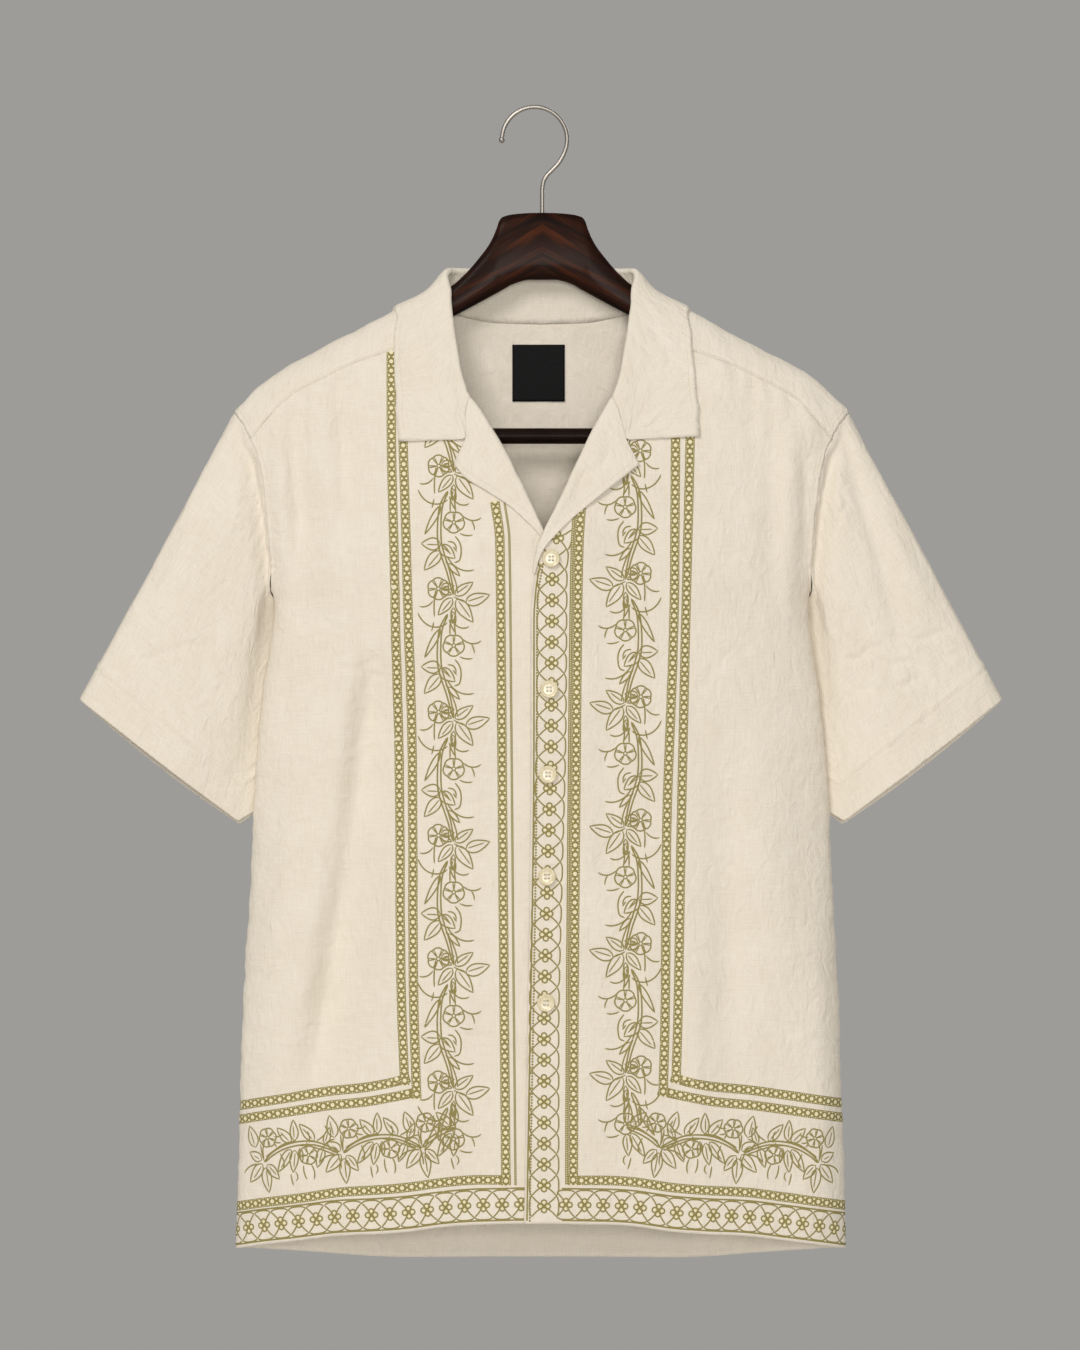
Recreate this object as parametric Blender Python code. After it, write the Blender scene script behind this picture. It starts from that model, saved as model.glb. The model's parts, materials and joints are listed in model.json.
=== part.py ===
# A camp shirt on a wooden hanger with a metal hook and a trouser bar, in metres, +Z up.
# The shirt's front faces -Y. The origin is where the hook bears on its rail: its inner top.
# Tables are in millimetres. A drop is a distance below the origin. An angle runs round the
# body: 0 at centre front, 90 at the wearer's left side (+X), 180 at centre back.

import math
import bpy
import bmesh
from mathutils import Vector

MM = 0.001
CLOTH = 1.5            # wall of every cloth piece
SEAM = 0.2             # how far each piece stops short of a seam
LAYER = 0.5            # air between a layer and what it lies on
ROLL = 2.0             # radius of the collar's and the lapels' fold, in the middle of the cloth
OVERLAP = 2.6          # how far the top front is moved out where it covers the under front
COLUMNS = 12           # columns across a front, and from the neck to the armhole in the yoke
CROSSING_LIFT = 2.6    # how much further it stands out where the two lapels cross
CROSSING_DROP = 322.0

# The body's level sections: drop, half width, front depth, back depth
BODY = (
    (96.0, 4.0, 6.0, 8.0),
    (116.0, 54.0, 9.0, 14.0),
    (123.0, 67.6, 10.0, 15.0),
    (138.3, 84.4, 12.0, 17.0),
    (152.8, 111.3, 14.0, 20.0),
    (168.0, 139.8, 18.0, 22.0),
    (183.2, 169.5, 21.5, 24.0),
    (198.4, 198.0, 24.5, 25.0),
    (206.0, 209.4, 25.5, 25.5),
    (213.6, 218.1, 26.5, 26.0),
    (221.2, 225.0, 27.5, 26.5),
    (231.0, 233.3, 28.5, 27.0),
    (251.6, 231.8, 31.5, 28.0),
    (282.0, 226.5, 36.5, 29.0),
    (304.8, 220.4, 39.5, 29.5),
    (327.6, 215.1, 42.0, 30.0),
    (358.0, 207.5, 44.5, 30.5),
    (377.0, 203.2, 45.0, 31.0),
    (403.6, 205.2, 45.0, 31.0),
    (434.0, 209.8, 45.0, 31.0),
    (502.4, 216.6, 45.0, 31.5),
    (593.6, 221.5, 45.0, 32.0),
    (684.8, 226.5, 45.0, 33.0),
    (753.2, 228.4, 45.0, 34.0),
    (880.0, 232.3, 45.0, 34.0),
)

# The armhole seam: drop, angle in front, angle behind
ARMHOLE = (
    (231.0, 90.0, 90.0),
    (232.0, 85.4, 94.6),
    (234.5, 81.0, 99.0),
    (241.0, 75.6, 103.5),
    (251.6, 71.8, 106.5),
    (263.0, 69.2, 108.0),
    (282.0, 68.5, 109.5),
    (297.0, 70.0, 110.0),
    (312.0, 71.5, 110.0),
    (335.0, 74.6, 109.0),
    (352.0, 78.5, 108.0),
    (362.0, 84.0, 107.5),
    (369.0, 92.0, 107.0),
    (376.0, 106.0, 106.0),
)
SHOULDER_TIP = 231.0
YOKE_CORNER = 251.6    # drop where both yoke seams meet the armhole
UNDERARM = 376.0

# The neck seam and the collar's fold, from centre back (0) to the notch (1):
# place, then angle and drop of the neck seam, angle and drop of the fold
NECK = (
    (0.00, 180.0, 161.9, 180.0, 120.8),
    (0.15, 166.0, 161.1, 153.0, 121.0),
    (0.30, 150.0, 156.5, 127.0, 121.6),
    (0.42, 125.0, 147.0, 105.0, 122.4),
    (0.50, 90.0, 138.3, 90.0, 123.5),
    (0.58, 62.0, 145.0, 69.0, 130.0),
    (0.70, 40.5, 160.0, 40.0, 150.0),
    (0.79, 30.7, 172.5, 27.9, 168.0),
    (0.90, 20.2, 196.0, 19.0, 193.0),
    (1.00, 15.4, 218.6, 13.6, 221.2),
)
YOKE_FRONT_PLACE = 0.79
# Where the yoke's rungs start on the neck seam, from its front end to its corner behind
YOKE_NECK_PLACES = (YOKE_FRONT_PLACE, 0.71, 0.62, 0.545, 0.50, 0.48, 0.45, 0.415, 0.38)
YOKE_ARM_DROPS = (SHOULDER_TIP, 232.0, 235.5, 242.0, YOKE_CORNER)
YOKE_BACK_STEPS = 9    # rungs in half of the seam behind

# The collar's outer edge, wearer's right then left: place, angle, drop, angle, drop
COLLAR_EDGE = (
    (0.00, 180.0, 168.0, 180.0, 168.0),
    (0.15, 166.0, 168.0, 166.0, 168.0),
    (0.30, 150.0, 167.0, 150.0, 167.0),
    (0.42, 122.0, 162.0, 122.0, 162.0),
    (0.50, 90.0, 152.0, 90.0, 152.5),
    (0.58, 64.0, 158.0, 68.0, 157.0),
    (0.70, 44.5, 177.0, 50.0, 176.0),
    (0.80, 36.0, 200.0, 41.5, 196.0),
    (0.90, 30.8, 226.0, 35.5, 220.0),
    (1.00, 28.2, 252.3, 32.3, 247.5),
)

# The notch between collar and lapel: side, reach from the centre, drop
NOTCH = {-1: (56.2, 252.3), 1: (63.1, 252.7)}

# The front yoke seam from the neck to the armhole: reach from the centre, drop
YOKE_SEAM = (
    (76.0, 172.5),
    (111.0, 183.5),
    (137.6, 192.3),
    (168.0, 206.7),
    (190.8, 219.3),
    (206.0, 234.1),
    (220.5, 251.6),
)

# Rows of the turned pieces: up the stand, round the fold, down to the edge, and along them
STAND_STEPS = 2
ROLL_STEPS = 5
FALL_STEPS = 5
COLLAR_BACK_STEPS = 6
LAPEL_ROWS = 10
COLLAR_START = 0.6     # how far above the neck seam the stand begins
LAPEL_END_ROLL = 1.3   # radius of a lapel's fold at its lower end
FLARE = 0.6            # how far the outer edges lift off the panel
NOTCH_SHARE = 0.4      # how far across a turned piece its notch lies

# The fronts' inner edges below the lapels: drop, reach towards the piece's own side
UNDER_EDGE = (
    (312.2, 5.8),
    (326.0, -1.8),
    (341.0, -9.5),
    (356.0, -17.5),
    (368.0, -21.3),
    (860.0, -15.2),
)
TOP_EDGE = (
    (323.4, 5.2),
    (334.4, 0.6),
    (347.3, -3.0),
    (365.6, -6.1),
    (388.4, -7.6),
    (449.2, -7.6),
    (860.0, -12.9),
)
FOLD_SETBACK = 3.1     # from a lapel's fold to the edge of the front behind it

# A lapel from its gorge (0) to its lower end (1): place, reach and drop of the fold,
# reach and drop of the outer edge
RIGHT_LAPEL = (
    (0.00, 53.2, 221.2, 65.4, 271.3),
    (0.10, 46.6, 229.4, 62.5, 275.6),
    (0.25, 38.8, 242.4, 57.0, 282.0),
    (0.50, 23.6, 269.0, 40.5, 292.5),
    (0.75, 10.6, 295.4, 23.5, 303.6),
    (1.00, 2.8, 312.2, 9.2, 315.4),
)
LEFT_LAPEL = (
    (0.00, 52.6, 221.2, 73.7, 272.1),
    (0.25, 37.4, 249.4, 60.0, 283.5),
    (0.50, 23.6, 278.2, 44.8, 295.6),
    (0.75, 11.4, 304.8, 22.0, 314.6),
    (1.00, 2.2, 323.4, 8.6, 327.2),
)

# The hems from the centre to the side: reach, drop of the front hem, drop of the back hem
HEM = (
    (0.0, 840.4, 876.5),
    (46.0, 841.5, 876.5),
    (68.0, 842.8, 876.6),
    (100.0, 847.5, 876.5),
    (124.0, 849.6, 875.6),
    (152.0, 851.4, 873.2),
    (182.0, 855.6, 870.3),
    (215.0, 861.0, 867.1),
    (231.8, 864.9, 864.9),
)

# Rungs of the front panels: drop at the inner edge, drop at the outer edge, rows to the next
HEM_INNER = 840.4
HEM_OUTER = 864.9
RUNGS = (
    (172.5, 251.6, 4),
    (218.6, 288.0, 4),
    (281.0, 335.0, 3),
    (322.0, 362.0, 2),
    (346.0, 376.0, 2),
    (388.0, 408.0, 12),
    (HEM_INNER, HEM_OUTER, 0),
)

# Soft folds in the panels: x and drop at the upper end, x and drop at the lower end,
# half width, depth (a negative depth stands out as a ridge)
FRONT_FOLDS = (
    (-187.0, 205.0, -178.0, 350.0, 9.0, 3.0),
    (-151.0, 200.0, -146.0, 320.0, 9.0, 2.6),
    (-168.0, 215.0, -164.0, 420.0, 10.0, -2.2),
    (-195.0, 240.0, -190.0, 400.0, 8.0, -2.4),
    (-122.0, 450.0, -190.0, 760.0, 17.0, 6.5),
    (-150.0, 470.0, -208.0, 700.0, 15.0, -3.5),
    (-110.0, 560.0, -150.0, 850.0, 16.0, -3.0),
    (-196.0, 780.0, -170.0, 880.0, 22.0, -2.0),
    (162.0, 200.0, 168.0, 300.0, 9.0, 2.2),
    (176.0, 215.0, 170.0, 360.0, 9.0, 3.2),
    (194.0, 225.0, 192.0, 400.0, 8.0, -2.6),
    (124.0, 420.0, 150.0, 720.0, 14.0, 3.6),
    (166.0, 430.0, 190.0, 760.0, 18.0, -3.2),
    (206.0, 700.0, 196.0, 880.0, 20.0, 2.2),
)
BACK_FOLDS = (
    (-150.0, 250.0, -140.0, 560.0, 18.0, 3.4),
    (-96.0, 300.0, -112.0, 860.0, 22.0, -3.0),
    (-40.0, 260.0, -30.0, 700.0, 20.0, 3.0),
    (38.0, 320.0, 52.0, 880.0, 22.0, -3.2),
    (104.0, 255.0, 96.0, 620.0, 20.0, 3.4),
    (160.0, 300.0, 172.0, 800.0, 20.0, -3.0),
    (-176.0, 520.0, -160.0, 880.0, 20.0, 3.0),
    (126.0, 560.0, 138.0, 880.0, 20.0, 2.6),
)

# The sleeves: the cuff's ends, reach and drop, and its lowest point
CUFF_OUTER = (350.4, 448.4)
CUFF_LOWEST = (230.5, 541.0)
CUFF_INNER_DROP = 531.0
SLEEVE_TUCK = 4.0      # how far the sleeve's inner edge reaches behind the body's side
SLEEVE_BACKSET = 10.5  # how far that edge lies behind the hanger's plane
SLEEVE_DEPTH = 14.0    # half of a sleeve's thickness from front to back
VALLEY = (12.0, 8.0, 7.5)   # fold beside the armhole: distance from the seam, half width, depth
SLEEVE_LENGTHS = (245.0, 155.0)   # from the armhole to the cuff: over the arm, under it
SLEEVE_ROWS = 9
PIT_CLEARANCE = 3.0    # how far the sleeve stands off the body under the arm
PIT_SEAM = 0.3         # its gap to the body at the seam there

# Buttons: x and drop of each, then their size
BUTTONS = ((7.5, 343.3), (6.0, 440.6), (5.2, 504.3), (4.5, 580.6), (3.7, 675.0))
BUTTON_RADIUS = 6.65
BUTTON_THICKNESS = 3.0
BUTTON_HOLE = 0.9
BUTTON_HOLE_SPACING = 1.75

# The label inside the back neck: x, half width, upper and lower drop, thickness
LABEL = (-1.9, 20.1, 177.0, 220.5, 0.8)

# Hanger: reach from its centre, top drop, bottom drop, half thickness
HANGER_X = 0.9
HANGER = (
    (0.0, 78.8, 129.8, 7.0),
    (10.0, 79.0, 129.8, 7.0),
    (22.0, 80.0, 133.0, 7.0),
    (30.0, 82.0, 137.4, 7.0),
    (32.6, 84.6, 138.8, 7.0),
    (34.0, 89.0, 139.6, 7.0),
    (39.5, 101.5, 142.6, 6.9),
    (48.6, 114.0, 147.6, 6.7),
    (58.5, 125.4, 152.9, 6.5),
    (68.4, 134.2, 158.2, 6.3),
)
HANGER_UNDER_CLOTH = 2.8    # drop of the arm's top below the cloth's own shoulder line
HANGER_AT_NECK = 6.0        # the same beside the neck
HANGER_HEIGHT = 24.0
HANGER_BLOCK = 176.0        # where the arm deepens to hold the bar
HANGER_STEP = 0.6           # how far the face there slopes
HANGER_END = 205.0
HANGER_BLOCK_BOTTOM = 258.0
BAR_DROP = 248.5
BAR_RADIUS = 6.0

HOOK_CENTRE = (-4.9, 23.1)
HOOK_RADIUS = 24.7
WIRE = 1.6
HOOK_SIDES = 8
# The ball at the hook's free end: distance along the wire, radius
HOOK_BALL = ((-4.6, 0.7), (-4.0, 1.7), (-2.6, 2.4), (-1.2, 2.3), (-0.3, 1.8))
# The hook's neck below its arc: x, drop
HOOK_NECK = ((16.2, 33.6), (10.2, 39.8), (4.4, 45.8), (1.2, 52.6), (HANGER_X, 60.0), (HANGER_X, 90.0))
HOOK_BORE_START = 60.0      # above the wood, so that the bore is open at its top
HOOK_BORE_BOTTOM = 90.3
FIT = 0.3                   # clearance of the hook in its bore


def between(table, column, at):
    """A smooth value of one column of a table whose first column rises, with no overshoot."""
    rows = len(table)
    if at <= table[0][0]:
        return table[0][column]
    if at >= table[-1][0]:
        return table[-1][column]
    i = 0
    while table[i + 1][0] < at:
        i += 1

    def slope(k):
        if k < 0 or k > rows - 2:
            return None
        return (table[k + 1][column] - table[k][column]) / (table[k + 1][0] - table[k][0])

    def tangent(k):
        before, after = slope(k - 1), slope(k)
        if before is None:
            return after
        if after is None:
            return before
        if before * after <= 0.0:
            return 0.0
        return 2.0 * before * after / (before + after)

    width = table[i + 1][0] - table[i][0]
    t = (at - table[i][0]) / width
    a, b = table[i][column], table[i + 1][column]
    rise = t * t * (3.0 - 2.0 * t)
    bend = (t * (1.0 - t) ** 2) * tangent(i) - (t * t * (1.0 - t)) * tangent(i + 1)
    return a + (b - a) * rise + bend * width


def ease(value, low, high):
    """0 below low, 1 above high, smooth between."""
    t = min(1.0, max(0.0, (value - low) / (high - low)))
    return t * t * (3.0 - 2.0 * t)


def mix(a, b, t):
    return a + (b - a) * t


# The body's surface

def half_width(drop):
    return between(BODY, 1, drop)


def ridge(reach):
    """The drop of the shoulder line at a distance from the centre."""
    low, high = BODY[0][0], SHOULDER_TIP
    for _ in range(40):
        middle = 0.5 * (low + high)
        if half_width(middle) < reach:
            low = middle
        else:
            high = middle
    return 0.5 * (low + high)


def fold_depth(folds, x, drop):
    depth = 0.0
    for x0, drop0, x1, drop1, width, amount in folds:
        length = math.hypot(x1 - x0, drop1 - drop0)
        ux, ud = (x1 - x0) / length, (drop1 - drop0) / length
        along = ((x - x0) * ux + (drop - drop0) * ud) / length
        across = (x - x0) * ud - (drop - drop0) * ux
        if -0.02 < along < 1.02 and abs(across) < 3.0 * width:
            ends = ease(along, -0.02, 0.3) * (1.0 - ease(along, 0.7, 1.02))
            depth += amount * ends * math.exp(-(across / width) ** 2)
    return depth


def surface(angle, drop):
    """A point of the shirt's outside."""
    turn = math.radians(angle)
    x = half_width(drop) * math.sin(turn)
    inward = math.cos(turn)
    if inward > 0.0:
        y = -between(BODY, 2, drop) * inward
        y += fold_depth(FRONT_FOLDS, x, drop) * ease(inward, 0.0, 0.4)
    else:
        y = -between(BODY, 3, drop) * inward
        y -= fold_depth(BACK_FOLDS, x, drop) * ease(-inward, 0.0, 0.4)
    return Vector((x, y, -drop))


def outward(angle, drop):
    """The direction out of the cloth there."""
    round_body = surface(angle + 0.2, drop) - surface(angle - 0.2, drop)
    down = surface(angle, drop + 0.2) - surface(angle, drop - 0.2)
    return down.cross(round_body).normalized()


def front_angle(x, drop):
    return math.degrees(math.asin(max(-1.0, min(1.0, x / half_width(drop)))))


def shoulder_place(x, tau):
    """Angle and drop of a yoke point: x, and the signed root of its drop below the ridge."""
    drop = ridge(abs(x)) + tau * tau
    angle = front_angle(x, drop)
    if tau > 0.0:
        angle = math.copysign(180.0, x) - angle
    return angle, drop


def shoulder_tau(x, drop, behind):
    tau = math.sqrt(max(0.0, drop - ridge(abs(x))))
    return tau if behind else -tau


# Meshes

def cloth_material(name, colour, roughness=0.85, metallic=0.0):
    material = bpy.data.materials.new(name)
    material.use_nodes = True
    shader = material.node_tree.nodes["Principled BSDF"]
    channels = [int(colour[i:i + 2], 16) / 255.0 for i in (0, 2, 4)]
    linear = [c / 12.92 if c <= 0.04045 else ((c + 0.055) / 1.055) ** 2.4 for c in channels]
    shader.inputs["Base Color"].default_value = (*linear, 1.0)
    shader.inputs["Roughness"].default_value = roughness
    shader.inputs["Metallic"].default_value = metallic
    return material


def add_object(name, points, faces, material, smooth=math.radians(40.0)):
    mesh = bpy.data.meshes.new(name)
    mesh.from_pydata([Vector(p) * MM for p in points], [], faces)
    shaped = bmesh.new()
    shaped.from_mesh(mesh)
    bmesh.ops.recalc_face_normals(shaped, faces=shaped.faces)
    shaped.to_mesh(mesh)
    shaped.free()
    mesh.shade_smooth()
    mesh.set_sharp_from_angle(angle=smooth)
    mesh.materials.append(material)
    obj = bpy.data.objects.new(name, mesh)
    bpy.context.collection.objects.link(obj)
    return obj


def grid_normals(grid, closed):
    rows, columns = len(grid), len(grid[0])
    normals = []
    for j in range(rows):
        line = []
        for i in range(columns):
            before = (i - 1) % columns if closed else max(i - 1, 0)
            after = (i + 1) % columns if closed else min(i + 1, columns - 1)
            across = grid[j][after] - grid[j][before]
            down = grid[min(j + 1, rows - 1)][i] - grid[max(j - 1, 0)][i]
            line.append(down.cross(across).normalized())
        normals.append(line)
    return normals


def trim(grid, top=0.0, bottom=0.0, first=0.0, last=0.0, closed=False):
    """Stops a grid short of its seams by moving its outer rows and columns squarely inwards."""
    rows, columns = len(grid), len(grid[0])
    row_edges = [(0, 1, top), (rows - 1, rows - 2, bottom)]
    column_edges = [(0, 1, first), (columns - 1, columns - 2, last)]
    edges = [([(j, i) for i in range(columns)], [(k, i) for i in range(columns)], amount)
             for j, k, amount in row_edges]
    edges += [([(j, i) for j in range(rows)], [(j, k) for j in range(rows)], amount)
              for i, k, amount in column_edges]
    for edge, inner, amount in edges:
        if not amount:
            continue
        points = [grid[j][i].copy() for j, i in edge]
        for k, (j, i) in enumerate(edge):
            before = points[k - 1] if k or closed else points[k]
            after = points[(k + 1) % len(points)] if k + 1 < len(points) or closed else points[k]
            along = (after - before).normalized()
            jj, ii = inner[k]
            step = grid[jj][ii] - points[k]
            step -= along * step.dot(along)
            grid[j][i] = points[k] + step.normalized() * amount
    return grid


def add_wall(name, grid, material, normals, closed=False, thickness=CLOTH):
    """A cloth wall whose outside is the grid: rows of points, row by row down the piece."""
    rows, columns = len(grid), len(grid[0])
    outside = [p for line in grid for p in line]
    inside = [grid[j][i] - normals[j][i] * thickness for j in range(rows) for i in range(columns)]
    shift = len(outside)
    faces = []
    across = columns if closed else columns - 1
    for j in range(rows - 1):
        for i in range(across):
            a, b = j * columns + i, j * columns + (i + 1) % columns
            c, d = b + columns, a + columns
            # Both sides of the wall are split along the same, shorter diagonal
            if (outside[a] - outside[c]).length <= (outside[b] - outside[d]).length:
                halves = ((a, b, c), (a, c, d))
            else:
                halves = ((a, b, d), (b, c, d))
            for half in halves:
                faces.append(half)
                faces.append(tuple(shift + k for k in reversed(half)))
    rims = [[j * columns + i % columns for i in range(across + 1)] for j in (0, rows - 1)]
    if not closed:
        rims += [[j * columns + i for j in range(rows)] for i in (0, columns - 1)]
    for rim in rims:
        for a, b in zip(rim, rim[1:]):
            faces.append((a, b, shift + b, shift + a))
    return add_object(name, outside + inside, faces, material)


# Shared edges

def steps(table):
    """The places of a table of rungs, evenly divided between its rows."""
    places = []
    for row, after in zip(table, table[1:]):
        for k in range(row[2]):
            t = k / row[2]
            places.append((mix(row[0], after[0], t), mix(row[1], after[1], t)))
    places.append((table[-1][0], table[-1][1]))
    return places


def armhole(drop, behind):
    return between(ARMHOLE, 2 if behind else 1, drop)


FRONT_ARM_DROPS = [outer for _, outer in steps(RUNGS) if outer <= UNDERARM + 0.01]
SIDE_DROPS = [outer for _, outer in steps(RUNGS) if outer > UNDERARM + 0.01]
BACK_ARM_DROPS = [mix(YOKE_CORNER, UNDERARM, t) for t in (0, 0.17, 0.34, 0.5, 0.65, 0.79, 0.91, 1)]


def side_seam(drop):
    return mix(106.0, 97.0, ease(drop, UNDERARM, UNDERARM + 60.0))


def neck_seam(place):
    return between(NECK, 1, place), between(NECK, 2, place)


def place_at(curve, drop, low, high):
    """The place where a curve, given as a function of the place, reaches a drop."""
    for _ in range(30):
        middle = 0.5 * (low + high)
        if curve(middle)[1] < drop:
            low = middle
        else:
            high = middle
    return 0.5 * (low + high)


def inner_edge(side, drop):
    """Where a front ends towards the centre: its angle, for a piece at +X."""
    if drop < neck_seam(1.0)[1] + 0.01:
        return neck_seam(place_at(neck_seam, drop, YOKE_FRONT_PLACE, 1.0))[0]
    table = TOP_EDGE if side > 0 else UNDER_EDGE
    if drop < table[0][0]:
        place = place_at(lambda at: lapel_fold(side, at), drop, 0.0, 1.0)
        angle = lapel_fold(side, place)[0]
        return front_angle(half_width(drop) * math.sin(math.radians(angle)) + FOLD_SETBACK, drop)
    return front_angle(between(table, 1, drop), drop)


def yoke_seam(t):
    """Angle and drop along the front yoke seam, from the neck (0) to the armhole (1)."""
    reach = mix(YOKE_SEAM[0][0], YOKE_SEAM[-1][0], t)
    drop = between(YOKE_SEAM, 1, reach)
    return front_angle(reach, drop), drop


def front_lift(side, angle, drop):
    """How far the top front stands out where it covers the under front."""
    if side < 0:
        return 0.0
    reach = half_width(drop) * math.sin(math.radians(angle))
    crossing = CROSSING_LIFT * math.exp(-((drop - CROSSING_DROP) / 26.0) ** 2)
    return (OVERLAP + crossing) * (1.0 - ease(reach, 24.0, 62.0))


def make_front(name, side, material):
    places = steps(RUNGS)
    last = len(places) - 1
    grid, normals = [], []
    for j, (inner_drop, outer_drop) in enumerate(places):
        inner = inner_edge(side, inner_drop)
        outer = armhole(outer_drop, False) if outer_drop <= UNDERARM else side_seam(outer_drop)
        to_seam, to_hem = (1.0 - j / last) ** 3, (j / last) ** 3
        line, directions = [], []
        for i in range(COLUMNS + 1):
            t = i / COLUMNS
            angle, drop = mix(inner, outer, t), mix(inner_drop, outer_drop, t)
            seam_angle, seam_drop = yoke_seam(t)
            angle += to_seam * (seam_angle - mix(*[yoke_seam(k)[0] for k in (0, 1)], t))
            drop += to_seam * (seam_drop - mix(*[yoke_seam(k)[1] for k in (0, 1)], t))
            reach = abs(half_width(drop) * math.sin(math.radians(angle)))
            hem = between(HEM, 1, reach)
            drop += to_hem * (hem - mix(HEM_INNER, HEM_OUTER, t))
            direction = outward(side * angle, drop)
            line.append(surface(side * angle, drop) + direction * front_lift(side, angle, drop))
            directions.append(direction)
        grid.append(line)
        normals.append(directions)
    return add_wall(name, trim(grid, top=SEAM, last=SEAM), material, normals)


def make_back(material):
    places = BACK_ARM_DROPS + SIDE_DROPS
    last = len(places) - 1
    grid, normals = [], []
    for j, outer_drop in enumerate(places):
        edge = armhole(outer_drop, True) if outer_drop <= UNDERARM else side_seam(outer_drop)
        line, directions = [], []
        for i in range(2 * YOKE_BACK_STEPS + 1):
            t = i / YOKE_BACK_STEPS - 1.0
            angle = 180.0 + t * (180.0 - edge)
            reach = abs(half_width(outer_drop) * math.sin(math.radians(angle)))
            drop = outer_drop + (j / last) ** 3 * (between(HEM, 2, reach) - HEM_OUTER)
            line.append(surface(angle, drop))
            directions.append(outward(angle, drop))
        grid.append(line)
        normals.append(directions)
    return add_wall("back", trim(grid, top=SEAM, first=SEAM, last=SEAM), material, normals)


def yoke_rungs():
    """Both ends of each rung of half the yoke: on the neck seam, on the outer seam."""
    rungs = []
    front = [(armhole(d, False), d) for d in reversed(YOKE_ARM_DROPS)]
    behind = [(armhole(d, True), d) for d in YOKE_ARM_DROPS[1:]]
    for place, outer in zip(YOKE_NECK_PLACES, front + behind):
        rungs.append((neck_seam(place), outer))
    corner = armhole(YOKE_CORNER, True)
    for k in range(1, YOKE_BACK_STEPS + 1):
        t = k / YOKE_BACK_STEPS
        rungs.append((neck_seam(mix(YOKE_NECK_PLACES[-1], 0.0, t)), (mix(corner, 180.0, t), YOKE_CORNER)))
    return rungs


def to_shoulder(angle, drop):
    x = half_width(drop) * math.sin(math.radians(angle))
    return x, shoulder_tau(x, drop, angle > 90.0)


def make_yoke(material):
    half = []
    for number, (neck, outer) in enumerate(yoke_rungs()):
        x0, tau0 = to_shoulder(*neck)
        x1, tau1 = to_shoulder(*outer)
        line = []
        for i in range(COLUMNS + 1):
            t = i / COLUMNS
            x, tau = mix(x0, x1, t), mix(tau0, tau1, t)
            seam_x, seam_tau = to_shoulder(*yoke_seam(t))
            near = max(0.0, 1.0 - number / 4.0) ** 1.5
            ends = [to_shoulder(*yoke_seam(k)) for k in (0, 1)]
            x += near * (seam_x - mix(ends[0][0], ends[1][0], t))
            tau += near * (seam_tau - mix(ends[0][1], ends[1][1], t))
            line.append(shoulder_place(x, tau))
        half.append(line)
    mirrored = [[(-angle, drop) for angle, drop in line] for line in half[:-1]]
    rows = mirrored + half[::-1]
    # From the right front over the back to the left front, so the outside keeps one hand
    grid = [[surface(*place) for place in line] for line in rows]
    normals = [[outward(*place) for place in line] for line in rows]
    grid = trim(grid, top=SEAM, bottom=SEAM, last=SEAM)
    return add_wall("yoke", grid, material, normals)


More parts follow.
